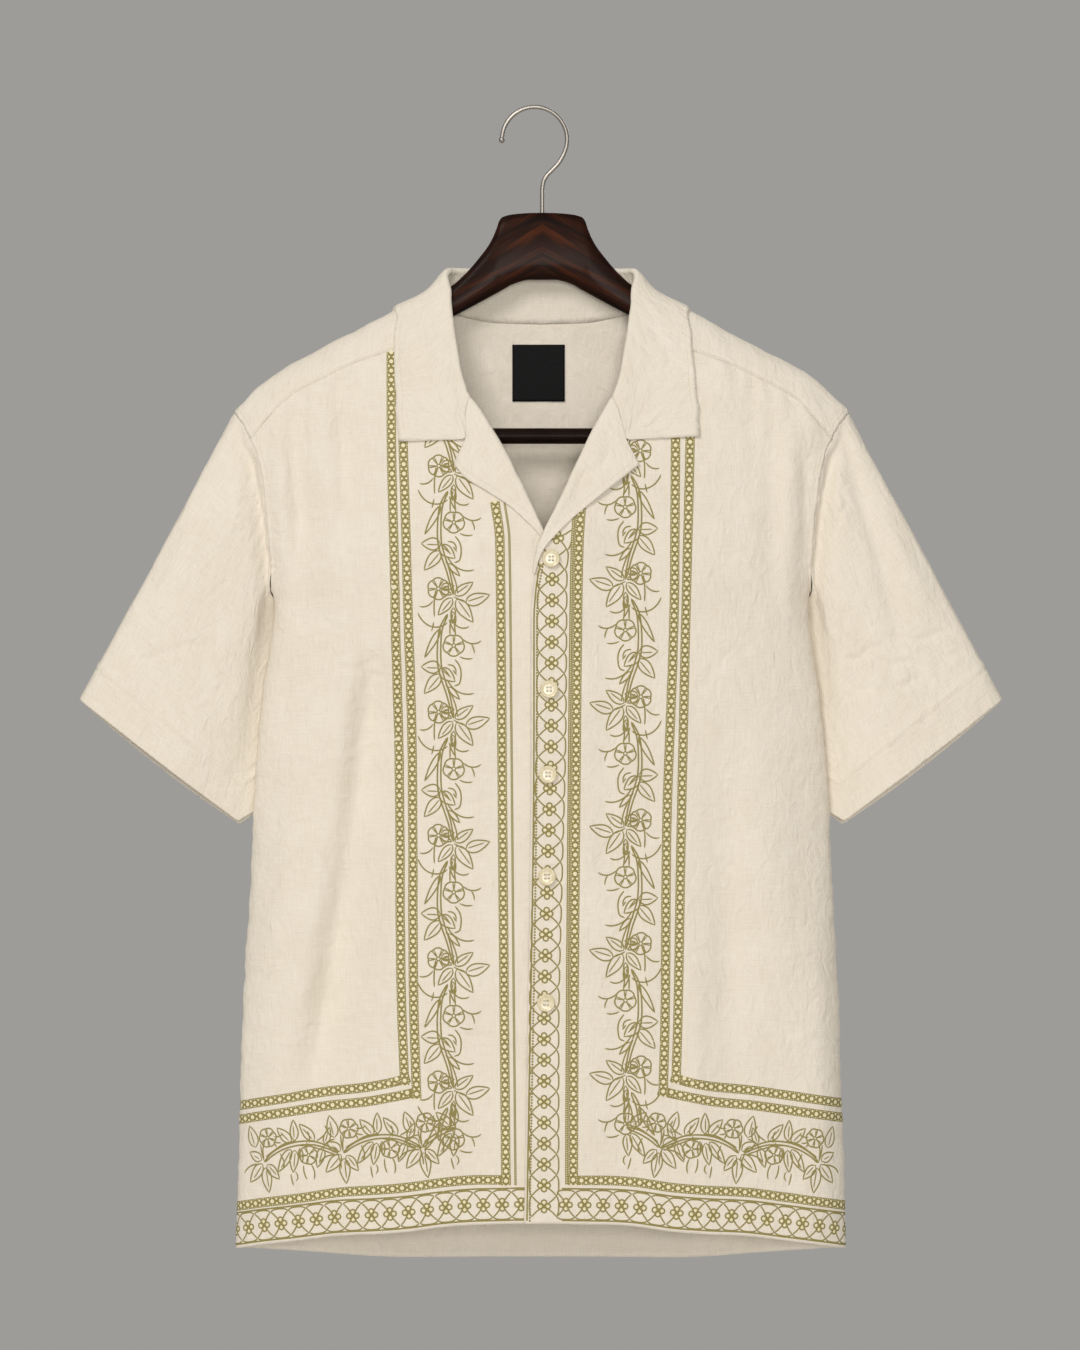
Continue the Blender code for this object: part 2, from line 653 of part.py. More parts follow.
def make_sleeve(name, side, material):
    front = [(armhole(d, False), d) for d in YOKE_ARM_DROPS[:-1]] \
        + [(armhole(d, False), d) for d in FRONT_ARM_DROPS]
    behind = [(armhole(d, True), d) for d in YOKE_ARM_DROPS[:-1]] \
        + [(armhole(d, True), d) for d in BACK_ARM_DROPS]

    def shares(seam):
        lengths = [0.0]
        for a, b in zip(seam, seam[1:]):
            lengths.append(lengths[-1] + (surface(*b) - surface(*a)).length)
        return [length / lengths[-1] for length in lengths]

    ring = [(angle, drop, share, -1.0) for (angle, drop), share in zip(front, shares(front))]
    ring += [(angle, drop, share, 1.0) for (angle, drop), share in zip(behind, shares(behind))][-2:0:-1]
    tip, pit = surface(90.0, SHOULDER_TIP), surface(armhole(UNDERARM, False), UNDERARM)
    pit_reach = half_width(CUFF_INNER_DROP) - SLEEVE_TUCK
    cuff = [(0.93 * k / 4, *(mix(a, b, k / 4) for a, b in zip(CUFF_OUTER, CUFF_LOWEST))) for k in range(5)]
    cuff.append((1.0, pit_reach, CUFF_INNER_DROP))
    grid = []
    for row in range(SLEEVE_ROWS + 1):
        down = (row / SLEEVE_ROWS) ** 1.25
        inner_drop = mix(UNDERARM, CUFF_INNER_DROP, down)
        inner_reach = mix(pit.x, half_width(inner_drop) - SLEEVE_TUCK, ease(down, 0.0, 0.15))
        outer = Vector((mix(tip.x, CUFF_OUTER[0], down), 0.0, -mix(SHOULDER_TIP, CUFF_OUTER[1], down)))
        line = []
        for angle, drop, share, facing in ring:
            # The section runs as a half turn from edge to edge, so that its edges are round
            turn = math.acos(max(-1.0, 1.0 - 2.0 * share))
            seam = surface(angle, drop)
            reach = mix(outer.x, inner_reach, share)
            level = mix(outer.z, -inner_drop, share)
            at_arm = (1.0 - down) ** 2
            reach += at_arm * (seam.x - mix(tip.x, pit.x, share))
            level += at_arm * (seam.z - mix(tip.z, pit.z, share))
            at_cuff = down ** 3
            reach += at_cuff * (between(cuff, 1, share) - mix(cuff[0][1], cuff[-1][1], share))
            level -= at_cuff * (between(cuff, 2, share) - mix(cuff[0][2], cuff[-1][2], share))
            middle = SLEEVE_BACKSET * ease(share, 0.55, 0.98)
            section = middle + facing * SLEEVE_DEPTH * math.sin(turn) ** 0.8
            y = mix(seam.y, section, ease(down, 0.0, 0.32))
            if facing < 0.0:
                distance = down * mix(*SLEEVE_LENGTHS, share)
                dip = math.exp(-((distance - VALLEY[0]) / VALLEY[1]) ** 2)
                y += VALLEY[2] * dip * ease(share, 0.02, 0.25) * (1.0 - ease(share, 0.8, 0.97))
            # Under the arm the sleeve leaves the body outwards before it hangs down beside it
            clear = PIT_CLEARANCE * ease(share, 0.6, 0.85) * ease(down, 0.0, 0.05)
            clear *= 1.0 - ease(down, 0.3, 0.8)
            line.append(Vector((reach, y, level)) + outward(angle, drop) * clear)
        grid.append(line)
    normals = [[-n for n in line] for line in grid_normals(grid, True)]
    for i, (angle, drop, share, _) in enumerate(ring):
        own = ease(share, 0.7, 0.92)
        normals[0][i] = (outward(angle, drop) * (1.0 - own) + normals[1][i] * own).normalized()
        grid[0][i] += outward(angle, drop) * PIT_SEAM * own
    trim(grid, top=SEAM, closed=True)
    if side < 0:
        grid = [[Vector((-p.x, p.y, p.z)) for p in line] for line in grid]
        normals = [[Vector((-n.x, n.y, n.z)) for n in line] for line in normals]
    return add_wall(name, grid, material, normals, closed=True)


# Collar and lapels

def turned_line(side, seam, fold, along, path, roll, lift):
    """One line across a turned-over piece, from its seam over the fold to its outer edge.

    Gives points in the middle of the cloth, each with the direction out of the fold."""
    at_fold = surface(side * fold[0], fold[1])
    direction = outward(side * fold[0], fold[1])
    towards_edge = path(NOTCH_SHARE)
    inwards = direction.cross(along).normalized()
    if inwards.dot(surface(side * towards_edge[0], towards_edge[1]) - at_fold) > 0.0:
        inwards = -inwards
    start = lift - 0.5 * CLOTH
    line = []
    if seam:
        for k in range(STAND_STEPS):
            t = k / STAND_STEPS
            place = (side * mix(seam[0], fold[0], t), mix(seam[1], fold[1], t))
            out = outward(*place)
            line.append((surface(*place) + out * start - inwards * roll * t, -out))
    for k in range(ROLL_STEPS + 1):
        turn = math.pi * k / ROLL_STEPS
        radial = inwards * math.sin(turn) - direction * math.cos(turn)
        line.append((at_fold - inwards * roll + direction * (start + roll) + radial * roll, radial))
    for k in range(1, FALL_STEPS + 1):
        t = k / FALL_STEPS
        place = path(t)
        rise = mix(start + 2.0 * roll, lift + LAYER + 0.5 * CLOTH, ease(t, 0.0, 0.7)) + FLARE * t * t
        out = outward(side * place[0], place[1])
        point = surface(side * place[0], place[1]) + out * rise
        line.append((point - inwards * roll * (1.0 - t) ** 2, out))
    return line


def along_fold(side, before, after):
    return (surface(side * after[0], after[1]) - surface(side * before[0], before[1])).normalized()


def lapel_fold(side, place):
    table = RIGHT_LAPEL if side < 0 else LEFT_LAPEL
    reach, drop = between(table, 1, place), between(table, 2, place)
    return front_angle(reach, drop), drop


def collar_fold(place):
    return between(NECK, 3, place), between(NECK, 4, place)


def edge_path(side, fold, edge, bend):
    """The way from the fold to the outer edge, bent through the notch by the amount given."""
    notch = (front_angle(*NOTCH[side]), NOTCH[side][1])
    share = NOTCH_SHARE

    def path(t):
        straight = [mix(a, b, t) for a, b in zip(fold, edge)]
        if t <= share:
            bent = [mix(a, b, t / share) for a, b in zip(fold, notch)]
        else:
            bent = [mix(a, b, (t - share) / (1.0 - share)) for a, b in zip(notch, edge)]
        return tuple(mix(a, b, bend) for a, b in zip(straight, bent))
    return path


def add_turned(name, lines, material):
    """A wall of even thickness on both sides of the lines, which run across the piece."""
    middle = trim([[point for point, _ in line] for line in lines], SEAM, SEAM, SEAM)
    normals = [[normal for _, normal in line] for line in lines]
    grid = [[p + n * 0.5 * CLOTH for p, n in zip(a, b)] for a, b in zip(middle, normals)]
    return add_wall(name, grid, material, normals)


def make_collar(material):
    places = [k / COLLAR_BACK_STEPS * YOKE_NECK_PLACES[-1] for k in range(COLLAR_BACK_STEPS)]
    places += list(YOKE_NECK_PLACES[::-1])
    neck_end = neck_seam(1.0)[1]
    places += [place_at(neck_seam, drop, YOKE_FRONT_PLACE, 1.0) for drop, _ in steps(RUNGS)
               if YOKE_SEAM[0][1] < drop < neck_end - 0.01] + [1.0]
    halves = {}
    for side, column in ((-1, 1), (1, 3)):
        lines = []
        for place in places:
            fold = collar_fold(place)
            if place < 1.0:
                along = along_fold(side, collar_fold(place - 0.01), collar_fold(place + 0.01))
            else:
                along = along_fold(side, collar_fold(0.97), lapel_fold(side, 0.1))
            if place == 0.0:
                along = Vector((side, 0.0, 0.0))
            seam = neck_seam(place)
            length = (surface(*seam) - surface(*fold)).length
            seam = [mix(a, b, COLLAR_START / length) for a, b in zip(seam, fold)]
            edge = (between(COLLAR_EDGE, column, place), between(COLLAR_EDGE, column + 1, place))
            path = edge_path(side, fold, edge, ease(place, 0.76, 1.0))
            lines.append(turned_line(side, seam, fold, along, path, ROLL, 0.0))
        halves[side] = lines
    return add_turned("collar", halves[-1][::-1] + halves[1][1:], material)


def make_lapel(name, side, material):
    table = RIGHT_LAPEL if side < 0 else LEFT_LAPEL
    lines = []
    for row in range(LAPEL_ROWS + 1):
        place = row / LAPEL_ROWS
        fold = lapel_fold(side, place)
        if row:
            along = along_fold(side, lapel_fold(side, place - 0.05), lapel_fold(side, place + 0.05))
        else:
            along = along_fold(side, collar_fold(0.97), lapel_fold(side, 0.1))
        reach, drop = between(table, 3, place), between(table, 4, place)
        path = edge_path(side, fold, (front_angle(reach, drop), drop), 1.0 - ease(place, 0.0, 0.3))
        roll = mix(ROLL, LAPEL_END_ROLL, ease(place, 0.6, 1.0))
        lines.append(turned_line(side, None, fold, along, path, roll, front_lift(side, *fold)))
    return add_turned(name, lines, material)


# Hard pieces

def make_button(number, x, drop, material):
    angle = front_angle(x, drop)
    out = front_lift(1, angle, drop) + LAYER
    seat = surface(angle, drop) + outward(angle, drop) * out
    profile = ((0.72, 0.0), (0.94, 0.22), (1.0, 0.5), (0.97, 0.82), (0.86, 1.0), (0.74, 0.86), (0.62, 0.8))
    sides = 16
    points, faces = [], []
    for radius, height in profile:
        for k in range(sides):
            turn = 2.0 * math.pi * k / sides
            reach = radius * BUTTON_RADIUS
            points.append((seat.x + reach * math.cos(turn), seat.y - height * BUTTON_THICKNESS,
                           seat.z + reach * math.sin(turn)))
    for row in range(len(profile) - 1):
        for k in range(sides):
            a, b = row * sides + k, row * sides + (k + 1) % sides
            faces.append((a, b, b + sides, a + sides))
    faces.append(tuple(range(sides)))
    faces.append(tuple(range(len(points) - sides, len(points))))
    button = add_object(f"button_{number}", points, faces, material)
    for k in range(4):
        turn = math.radians(45.0 + 90.0 * k)
        hole_x = seat.x + BUTTON_HOLE_SPACING * math.cos(turn)
        hole_z = seat.z + BUTTON_HOLE_SPACING * math.sin(turn)
        cut(button, f"button_{number}_hole_{k}", (hole_x, seat.y - 2.0, hole_z), BUTTON_HOLE, 12.0, "Y", 6)
    return button


def cut(target, name, centre, radius, length, axis, sides):
    """Bores a round hole through an object, along Y or Z."""
    shaped = bmesh.new()
    bmesh.ops.create_cone(shaped, cap_ends=True, segments=sides, radius1=radius * MM,
                          radius2=radius * MM, depth=length * MM)
    if axis == "Y":
        for vertex in shaped.verts:
            vertex.co = Vector((vertex.co.x, -vertex.co.z, vertex.co.y))
    for vertex in shaped.verts:
        vertex.co += Vector(centre) * MM
    mesh = bpy.data.meshes.new(name)
    shaped.to_mesh(mesh)
    shaped.free()
    cutter = bpy.data.objects.new(name, mesh)
    bpy.context.collection.objects.link(cutter)
    cutter.hide_render = True
    cutter.display_type = "WIRE"
    modifier = target.modifiers.new(name, "BOOLEAN")
    modifier.operation = "DIFFERENCE"
    modifier.object = cutter
    return cutter


def make_label(material):
    centre, half, top, bottom, thickness = LABEL
    grid, normals = [], []
    for j in range(4):
        drop = mix(top, bottom, j / 3)
        angles = [180.0 - front_angle(centre + half * (i / 2 - 1.0), drop) for i in range(5)]
        normals.append([outward(angle, drop) for angle in angles])
        grid.append([surface(angle, drop) - n * (CLOTH + LAYER) for angle, n in zip(angles, normals[-1])])
    return add_wall("label", grid, material, normals, thickness=thickness)


def loft(name, sections, material):
    """A closed body through rings of points, with flat ends."""
    count = len(sections[0])
    points = [p for section in sections for p in section]
    faces = []
    for row in range(len(sections) - 1):
        for k in range(count):
            a, b = row * count + k, row * count + (k + 1) % count
            faces.append((a, b, b + count, a + count))
    faces.append(tuple(range(count)))
    faces.append(tuple(range(len(points) - count, len(points))))
    return add_object(name, points, faces, material)


def hanger_profile():
    """Reach, top drop, bottom drop and half thickness along one arm."""
    rows = list(HANGER)
    for reach in (84.0, 100.0, 118.0, 138.0, 158.0, HANGER_BLOCK - HANGER_STEP):
        top = ridge(reach) + mix(HANGER_AT_NECK, HANGER_UNDER_CLOTH, ease(reach, 76.0, 140.0))
        rows.append((reach, top, top + HANGER_HEIGHT, 5.2))
    for reach, rounding in ((HANGER_BLOCK, 0.0), (190.0, 1.0), (199.0, 6.0), (HANGER_END, 20.0)):
        top = ridge(reach) + HANGER_UNDER_CLOTH + 0.25 * rounding
        rows.append((reach, top, HANGER_BLOCK_BOTTOM - rounding, 5.6 - 0.08 * rounding))
    return rows


def make_hanger_body(material):
    profile = hanger_profile()
    rows = [(-r, t, b, h) for r, t, b, h in profile[:0:-1]] + profile
    sides = 12
    sections = []
    for reach, top, bottom, half in rows:
        section = []
        middle, tall = 0.5 * (top + bottom), 0.5 * (bottom - top)
        for k in range(sides):
            turn = 2.0 * math.pi * (k + 0.5) / sides
            c, s = math.cos(turn), math.sin(turn)
            square = mix(0.7, 1.0, ease(abs(reach), 60.0, 84.0))
            y = half * math.copysign(abs(c) ** square, c)
            z = -middle + tall * math.copysign(abs(s) ** square, s)
            section.append((reach + HANGER_X, y, z))
        sections.append(section)
    body = loft("hanger_body", sections, material)
    length = HOOK_BORE_BOTTOM - HOOK_BORE_START
    centre = (HANGER_X, 0.0, -HOOK_BORE_BOTTOM + 0.5 * length)
    cut(body, "hook_bore", centre, WIRE + FIT, length, "Z", 16)
    return body


def make_hanger_bar(material):
    sides = 16
    sections = []
    half = HANGER_BLOCK - HANGER_STEP
    for reach in (HANGER_X - half, HANGER_X + half):
        sections.append([(reach, BAR_RADIUS * math.cos(2 * math.pi * k / sides),
                          -BAR_DROP + BAR_RADIUS * math.sin(2 * math.pi * k / sides))
                         for k in range(sides)])
    return loft("hanger_bar", sections, material)


def wire_ring(centre, along, radius):
    side = Vector((0.0, 1.0, 0.0))
    up = along.cross(side)
    turns = [2.0 * math.pi * j / HOOK_SIDES for j in range(HOOK_SIDES)]
    return [centre + (side * math.cos(turn) + up * math.sin(turn)) * radius for turn in turns]


def make_hook(material):
    centre_x, centre_drop = HOOK_CENTRE
    path = []
    for k in range(16):
        turn = math.radians(mix(176.0, -22.0, k / 15))
        path.append((centre_x + HOOK_RADIUS * math.cos(turn), -centre_drop + HOOK_RADIUS * math.sin(turn)))
    path += [(x, -drop) for x, drop in HOOK_NECK]
    sections = []
    for k, (x, z) in enumerate(path):
        x0, z0 = path[max(k - 1, 0)]
        x1, z1 = path[min(k + 1, len(path) - 1)]
        along = Vector((x1 - x0, 0.0, z1 - z0)).normalized()
        sections.append((Vector((x, 0.0, z)), along, WIRE))
    start, along, _ = sections[0]
    rings = [wire_ring(start + along * offset, along, radius) for offset, radius in HOOK_BALL]
    rings += [wire_ring(*section) for section in sections]
    return loft("hanger_hook", rings, material)


def main():
    for obj in list(bpy.data.objects):
        bpy.data.objects.remove(obj, do_unlink=True)
    linen = cloth_material("cream_linen", "EDE3CF")
    make_yoke(linen)
    make_back(linen)
    make_front("front_left", 1, linen)
    make_front("front_right", -1, linen)
    make_sleeve("sleeve_left", 1, linen)
    make_sleeve("sleeve_right", -1, linen)
    make_collar(linen)
    make_lapel("lapel_left", 1, linen)
    make_lapel("lapel_right", -1, linen)
    resin = cloth_material("button_resin", "D9CDB2", 0.3)
    for number, (x, drop) in enumerate(BUTTONS, 1):
        make_button(number, x, drop, resin)
    make_label(cloth_material("label_weave", "17171A", 0.7))
    walnut = cloth_material("dark_walnut", "3A261B", 0.4)
    make_hanger_body(walnut)
    make_hanger_bar(walnut)
    make_hook(cloth_material("hook_steel", "B9BABC", 0.25, 1.0))


main()
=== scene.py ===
import json
import math
import bpy
import bmesh
import numpy as np
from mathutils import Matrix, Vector, noise

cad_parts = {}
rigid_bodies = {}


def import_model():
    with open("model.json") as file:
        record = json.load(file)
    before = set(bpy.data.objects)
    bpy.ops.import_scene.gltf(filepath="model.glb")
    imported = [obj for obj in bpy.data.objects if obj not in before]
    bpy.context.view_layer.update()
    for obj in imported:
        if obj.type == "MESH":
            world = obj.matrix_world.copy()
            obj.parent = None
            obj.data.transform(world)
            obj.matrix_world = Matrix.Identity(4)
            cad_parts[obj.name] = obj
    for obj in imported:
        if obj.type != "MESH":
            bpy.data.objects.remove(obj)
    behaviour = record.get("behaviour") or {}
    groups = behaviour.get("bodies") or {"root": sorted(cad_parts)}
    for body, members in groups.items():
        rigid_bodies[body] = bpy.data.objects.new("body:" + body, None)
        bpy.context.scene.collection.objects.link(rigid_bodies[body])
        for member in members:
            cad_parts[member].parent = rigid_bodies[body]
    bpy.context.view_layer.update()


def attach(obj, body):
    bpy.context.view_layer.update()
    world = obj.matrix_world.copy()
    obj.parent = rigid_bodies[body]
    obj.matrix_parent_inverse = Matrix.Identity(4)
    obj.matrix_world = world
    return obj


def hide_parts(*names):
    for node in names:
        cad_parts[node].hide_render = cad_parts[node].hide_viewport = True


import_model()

# A linen camp shirt on a walnut hanger. Tables are in millimetres: a drop is a distance below
# the hook's bearing point, an angle runs round the body from the centre front (0) over the
# wearer's left side (90) to the centre back (180).

mm = 0.001
scene = bpy.context.scene
scene.view_settings.view_transform = "Standard"


def smoothTable(rows, samples=4001):
    # every column against the first one, smooth and without overshoot
    table = np.array(rows, float)
    at = np.linspace(table[0, 0], table[-1, 0], samples)
    width = np.diff(table[:, 0])
    i = np.clip(np.searchsorted(table[:, 0], at, side="right") - 1, 0, len(width) - 1)
    t = (at - table[i, 0]) / width[i]
    columns = [at]
    for values in table.T[1:]:
        slope = np.diff(values) / width
        before, after = slope[:-1], slope[1:]
        alike = before * after > 0.0
        middle = np.where(alike, 2 * before * after / np.where(alike, before + after, 1.0), 0.0)
        tangent = np.concatenate([slope[:1], middle, slope[-1:]])
        rise = t * t * (3 - 2 * t)
        bend = t * (1 - t) ** 2 * tangent[i] - t * t * (1 - t) * tangent[i + 1]
        columns.append(values[i] + (values[i + 1] - values[i]) * rise + bend * width[i])
    return columns


def look(table, column, at):
    return np.interp(at, table[0], table[column])


def ease(value, low, high):
    t = np.clip((np.asarray(value, float) - low) / (high - low), 0.0, 1.0)
    return t * t * (3 - 2 * t)


def mix(a, b, t):
    return a + (b - a) * t


def sided(word, side):
    # the wearer's left is at positive x
    return word + ("Left" if side > 0 else "Right")


def addObject(name, data):
    thing = bpy.data.objects.new(name, data)
    scene.collection.objects.link(thing)
    return thing


def unit(vectors):
    return vectors / np.maximum(np.linalg.norm(vectors, axis=-1, keepdims=True), 1e-9)


def hexColour(code):
    # sRGB hex to linear RGBA
    channels = [int(code[i:i + 2], 16) / 255 for i in (0, 2, 4)]
    return [c / 12.92 if c <= 0.04045 else ((c + 0.055) / 1.055) ** 2.4 for c in channels] + [1.0]


def addNode(tree, kind, settings=None, inputs=None):
    # one node: its own settings, then values or links for its inputs, by name or number
    node = tree.nodes.new(kind)
    for name, value in (settings or {}).items():
        setattr(node, name, value)
    for key, value in (inputs or {}).items():
        socket = node.inputs[key]
        if isinstance(value, bpy.types.NodeSocket):
            tree.links.new(value, socket)
        else:
            socket.default_value = value
    return node


# drop, half width, front depth, back depth of the body's level sections
bodyRows = (
    (96, 4, 6, 8), (116, 54, 9, 14), (123, 67.6, 10, 15),
    (138.3, 84.4, 12, 17), (152.8, 111.3, 14, 20), (168, 139.8, 18, 22),
    (183.2, 169.5, 21.5, 24), (198.4, 198, 24.5, 25), (206, 209.4, 25.5, 25.5),
    (213.6, 218.1, 26.5, 26), (221.2, 225, 27.5, 26.5), (231, 233.3, 28.5, 27),
    (251.6, 231.8, 31.5, 28), (282, 226.5, 36.5, 29), (304.8, 220.4, 39.5, 29.5),
    (327.6, 215.1, 42, 30), (358, 207.5, 44.5, 30.5), (377, 203.2, 45, 31),
    (403.6, 205.2, 45, 31), (434, 209.8, 45, 31), (502.4, 216.6, 45, 31.5),
    (593.6, 221.5, 45, 32), (684.8, 226.5, 45, 33), (753.2, 228.4, 45, 34),
    (880, 232.3, 45, 34))
# drop, angle of the armhole seam in front, behind
armholeRows = (
    (231, 90, 90), (232, 85.4, 94.6), (234.5, 81, 99), (241, 75.6, 103.5),
    (251.6, 71.8, 106.5), (263, 69.2, 108), (282, 68.5, 109.5), (297, 70, 110),
    (312, 71.5, 110), (335, 74.6, 109), (352, 78.5, 108), (362, 84, 107.5),
    (369, 92, 107), (376, 106, 106))
# place from centre back (0) to the notch (1), angle and drop of the neck seam, of the fold
neckRows = (
    (0.00, 180, 161.9, 180, 120.8), (0.15, 166, 161.1, 153, 121),
    (0.30, 150, 156.5, 127, 121.6), (0.42, 125, 147, 105, 122.4),
    (0.50, 90, 138.3, 90, 123.5), (0.58, 62, 145, 69, 130),
    (0.70, 40.5, 160, 40, 150), (0.79, 30.7, 172.5, 27.9, 168),
    (0.90, 20.2, 196, 19, 193), (1.00, 15.4, 218.6, 13.6, 221.2))
# place, angle and drop of the collar's outer edge on the wearer's right, then left
collarEdgeRows = (
    (0.00, 180, 168, 180, 168), (0.15, 166, 168, 166, 168),
    (0.30, 150, 167, 150, 167), (0.42, 122, 162, 122, 162),
    (0.50, 90, 152, 90, 152.5), (0.58, 64, 158, 68, 157),
    (0.70, 44.7, 177, 46.8, 176), (0.75, 38, 188.5, 40.6, 186),
    (0.80, 33.4, 200, 36.4, 196), (0.85, 30.3, 213, 33.2, 208),
    (0.90, 28.3, 226, 31.5, 220), (0.95, 27.7, 240, 30.5, 235),
    (1.00, 27.5, 254, 31, 250))
notch = {-1: (56.2, 252.3), 1: (63.1, 252.7)}   # reach and drop, by side
yokeSeamRows = (   # reach, drop
    (76, 172.5), (111, 183.5), (137.6, 192.3), (168, 206.7), (190.8, 219.3),
    (206, 234.1), (220.5, 251.6))
underEdgeRows = (   # drop, reach of the front edges below the lapels
    (312.2, 5.8), (326, -1.8), (341, -9.5), (356, -17.5), (368, -21.3), (860, -15.2))
topEdgeRows = (
    (323.4, 5.2), (334.4, 0.6), (347.3, -3), (365.6, -6.1), (388.4, -7.6), (449.2, -7.6),
    (860, -12.9))
# place from the gorge (0) to the lapel's end (1) and on, where it runs out along the front edge;
# reach and drop of its fold, of its edge
rightLapelRows = (
    (0.00, 53.2, 221.2, 65.4, 271.3), (0.10, 46.6, 229.4, 62.5, 275.6),
    (0.25, 38.8, 242.4, 57, 282), (0.50, 23.6, 269, 40.5, 292.5),
    (0.75, 10.6, 295.4, 23.5, 303.6), (1.00, 2.8, 312.2, 9.2, 316.6),
    (1.20, -1.2, 320.4, 3.4, 322.4), (1.45, -5, 328.4, -2.8, 329.6))
leftLapelRows = (
    (0.00, 52.6, 221.2, 73.7, 272.1), (0.25, 37.4, 249.4, 60, 283.5),
    (0.50, 23.6, 278.2, 44.8, 295.6), (0.75, 11.4, 304.8, 22, 314.6),
    (1.00, 2.2, 323.4, 9.4, 327.4), (1.22, -1.6, 332, 3.2, 334.6),
    (1.45, -4.1, 341.4, -1.2, 342.8), (1.75, -5.6, 354, -4.5, 354.6))
hemRows = (   # reach, drop of the front hem, of the back hem
    (0, 840.4, 876.5), (46, 841.5, 876.5), (68, 842.8, 876.6), (100, 847.5, 876.5),
    (124, 849.6, 875.6), (152, 851.4, 873.2), (182, 855.6, 870.3), (215, 861, 867.1),
    (231.8, 864.9, 864.9))
# inner drop, outer drop and number of each rung of a front panel
rungRows = (
    (172.5, 251.6, 0), (218.6, 288, 4), (281, 335, 8), (322, 362, 11),
    (346, 376, 13), (388, 408, 15), (840.4, 864.9, 27))
# where the seams and hems run, and how thick the cloth is
tailor = {
    "overlap": 2.6, "crossing": 2.6, "crossingDrop": 322.0, "crossingReach": 26.0,
    "buttonStand": (24.0, 62.0), "armEnd": (362.0, 382.0), "hemFade": (820.0, 840.0),
    "foldSetback": 3.1, "shoulderTip": 231.0, "yokeCorner": 251.6, "underarm": 376.0, "yokeFront": 0.79,
    "cloth": 0.8, "faced": 1.5, "layer": 0.5, "roll": 2.0, "lapelEndRoll": 1.3,
    "collarStart": 0.6, "flare": 0.6, "notchShare": 0.4, "hemHeight": 19.0,
    "armStitch": 4.6, "yokeStitch": 1.8, "cuffHeight": 26.5, "edgeStitch": 5.0, "lap": 0.7}
# folds: x and drop of both ends, half width, depth (negative stands out), and how much wider
# the side away from the wearer's right is, if it is
frontFolds = (
    (-188, 205, -182, 340, 8, 4.6, 1.5), (-151, 205, -146, 345, 8, 5.4, 1.6),
    (-182, 270, -174, 420, 12, 5.6, 1.5), (-197, 240, -192, 400, 7, -2.4, 1),
    (-134, 330, -127, 470, 9, 3.6, 2), (-123, 400, -148, 610, 12, 15, 2.6),
    (-140, 540, -179, 790, 13, 18, 2.6), (-184, 480, -208, 700, 14, -2.6, 1),
    (-196, 780, -170, 880, 22, -2),
    (-60, 330, -52, 620, 12, -1.6), (-44, 640, -50, 850, 12, 2.4),
    (-76, 740, -70, 880, 11, -2.6), (-20, 300, -18, 560, 8, 1.2),
    (157, 190, 162, 300, 8, 1.8), (174, 205, 172, 400, 8, 2.4),
    (190, 220, 186, 440, 8, -2.2), (202, 240, 197, 400, 5, 1.6),
    (134, 470, 146, 800, 14, 4), (166, 430, 190, 760, 18, -3.2),
    (112, 600, 120, 840, 9, -1.8), (208, 560, 213, 940, 20, -4.4),
    (52, 320, 46, 620, 11, 1.6), (76, 560, 84, 860, 11, -1.8))
# pressed or worn-in creases: x and drop of both ends, half width, depth, 1 for a fold's step
frontCreases = (
    (-153, 427, -116, 419, 2.6, 0.9, 0), (-129, 434, -114, 425, 3, 1.2, 0),
    (-158, 491, -110, 474, 2.6, 1, 1), (-152, 478, -170, 510, 3, 0.8, 0),
    (-203, 449, -173, 434, 3, 0.8, 0), (-214, 509, -180, 492, 3, 0.9, 0),
    (-139, 358, -109, 368, 2.8, 0.8, 0), (-160, 330, -128, 346, 3, 0.7, 0),
    (-195, 706, -157, 694, 2.2, 1.1, 1), (-157, 694, -113, 686, 2.2, 1.1, 1),
    (-180, 560, -210, 600, 3, 0.7, 0), (-190, 640, -222, 660, 3, 0.8, 0),
    (119, 441, 134, 418, 2.8, 1, 0), (134, 418, 164, 404, 2.8, 1, 0),
    (171, 501, 194, 493, 3, 0.7, 0), (180, 512, 200, 520, 3, 0.5, 0),
    (156, 636, 224, 640, 2, 0.8, 1), (119, 688, 186, 704, 2, 1.1, 1),
    (186, 704, 228, 709, 2, 1.1, 1), (125, 560, 160, 590, 3, 0.7, 0),
    (-64, 780, -96, 800, 3, 0.9, 0), (-40, 520, -78, 545, 2.6, 0.8, 0),
    (40, 430, 88, 446, 2.6, 0.8, 0), (34, 690, 90, 706, 2.4, 0.9, 1),
    (-36, 700, -92, 690, 2.4, 0.9, 1), (60, 560, 96, 548, 2.6, 0.8, 0))
collarCreases = (
    (115, 167, 64, 224, 3.4, 1.1, 0), (104, 213, 69, 228, 3, 1, 0),
    (76, 163, 96, 181, 3, 0.8, 0), (112, 206, 92, 188, 3.2, 0.7, 0),
    (-104, 189, -66, 204, 3.4, 1, 0), (-80, 214, -50, 217, 3, 0.9, 0),
    (-105, 246, -88, 230, 3, 0.9, 0), (-98, 168, -74, 156, 3.4, 0.8, 0),
    (-40, 262, -16, 284, 3, 0.7, 0), (52, 262, 24, 292, 3, 0.8, 0))
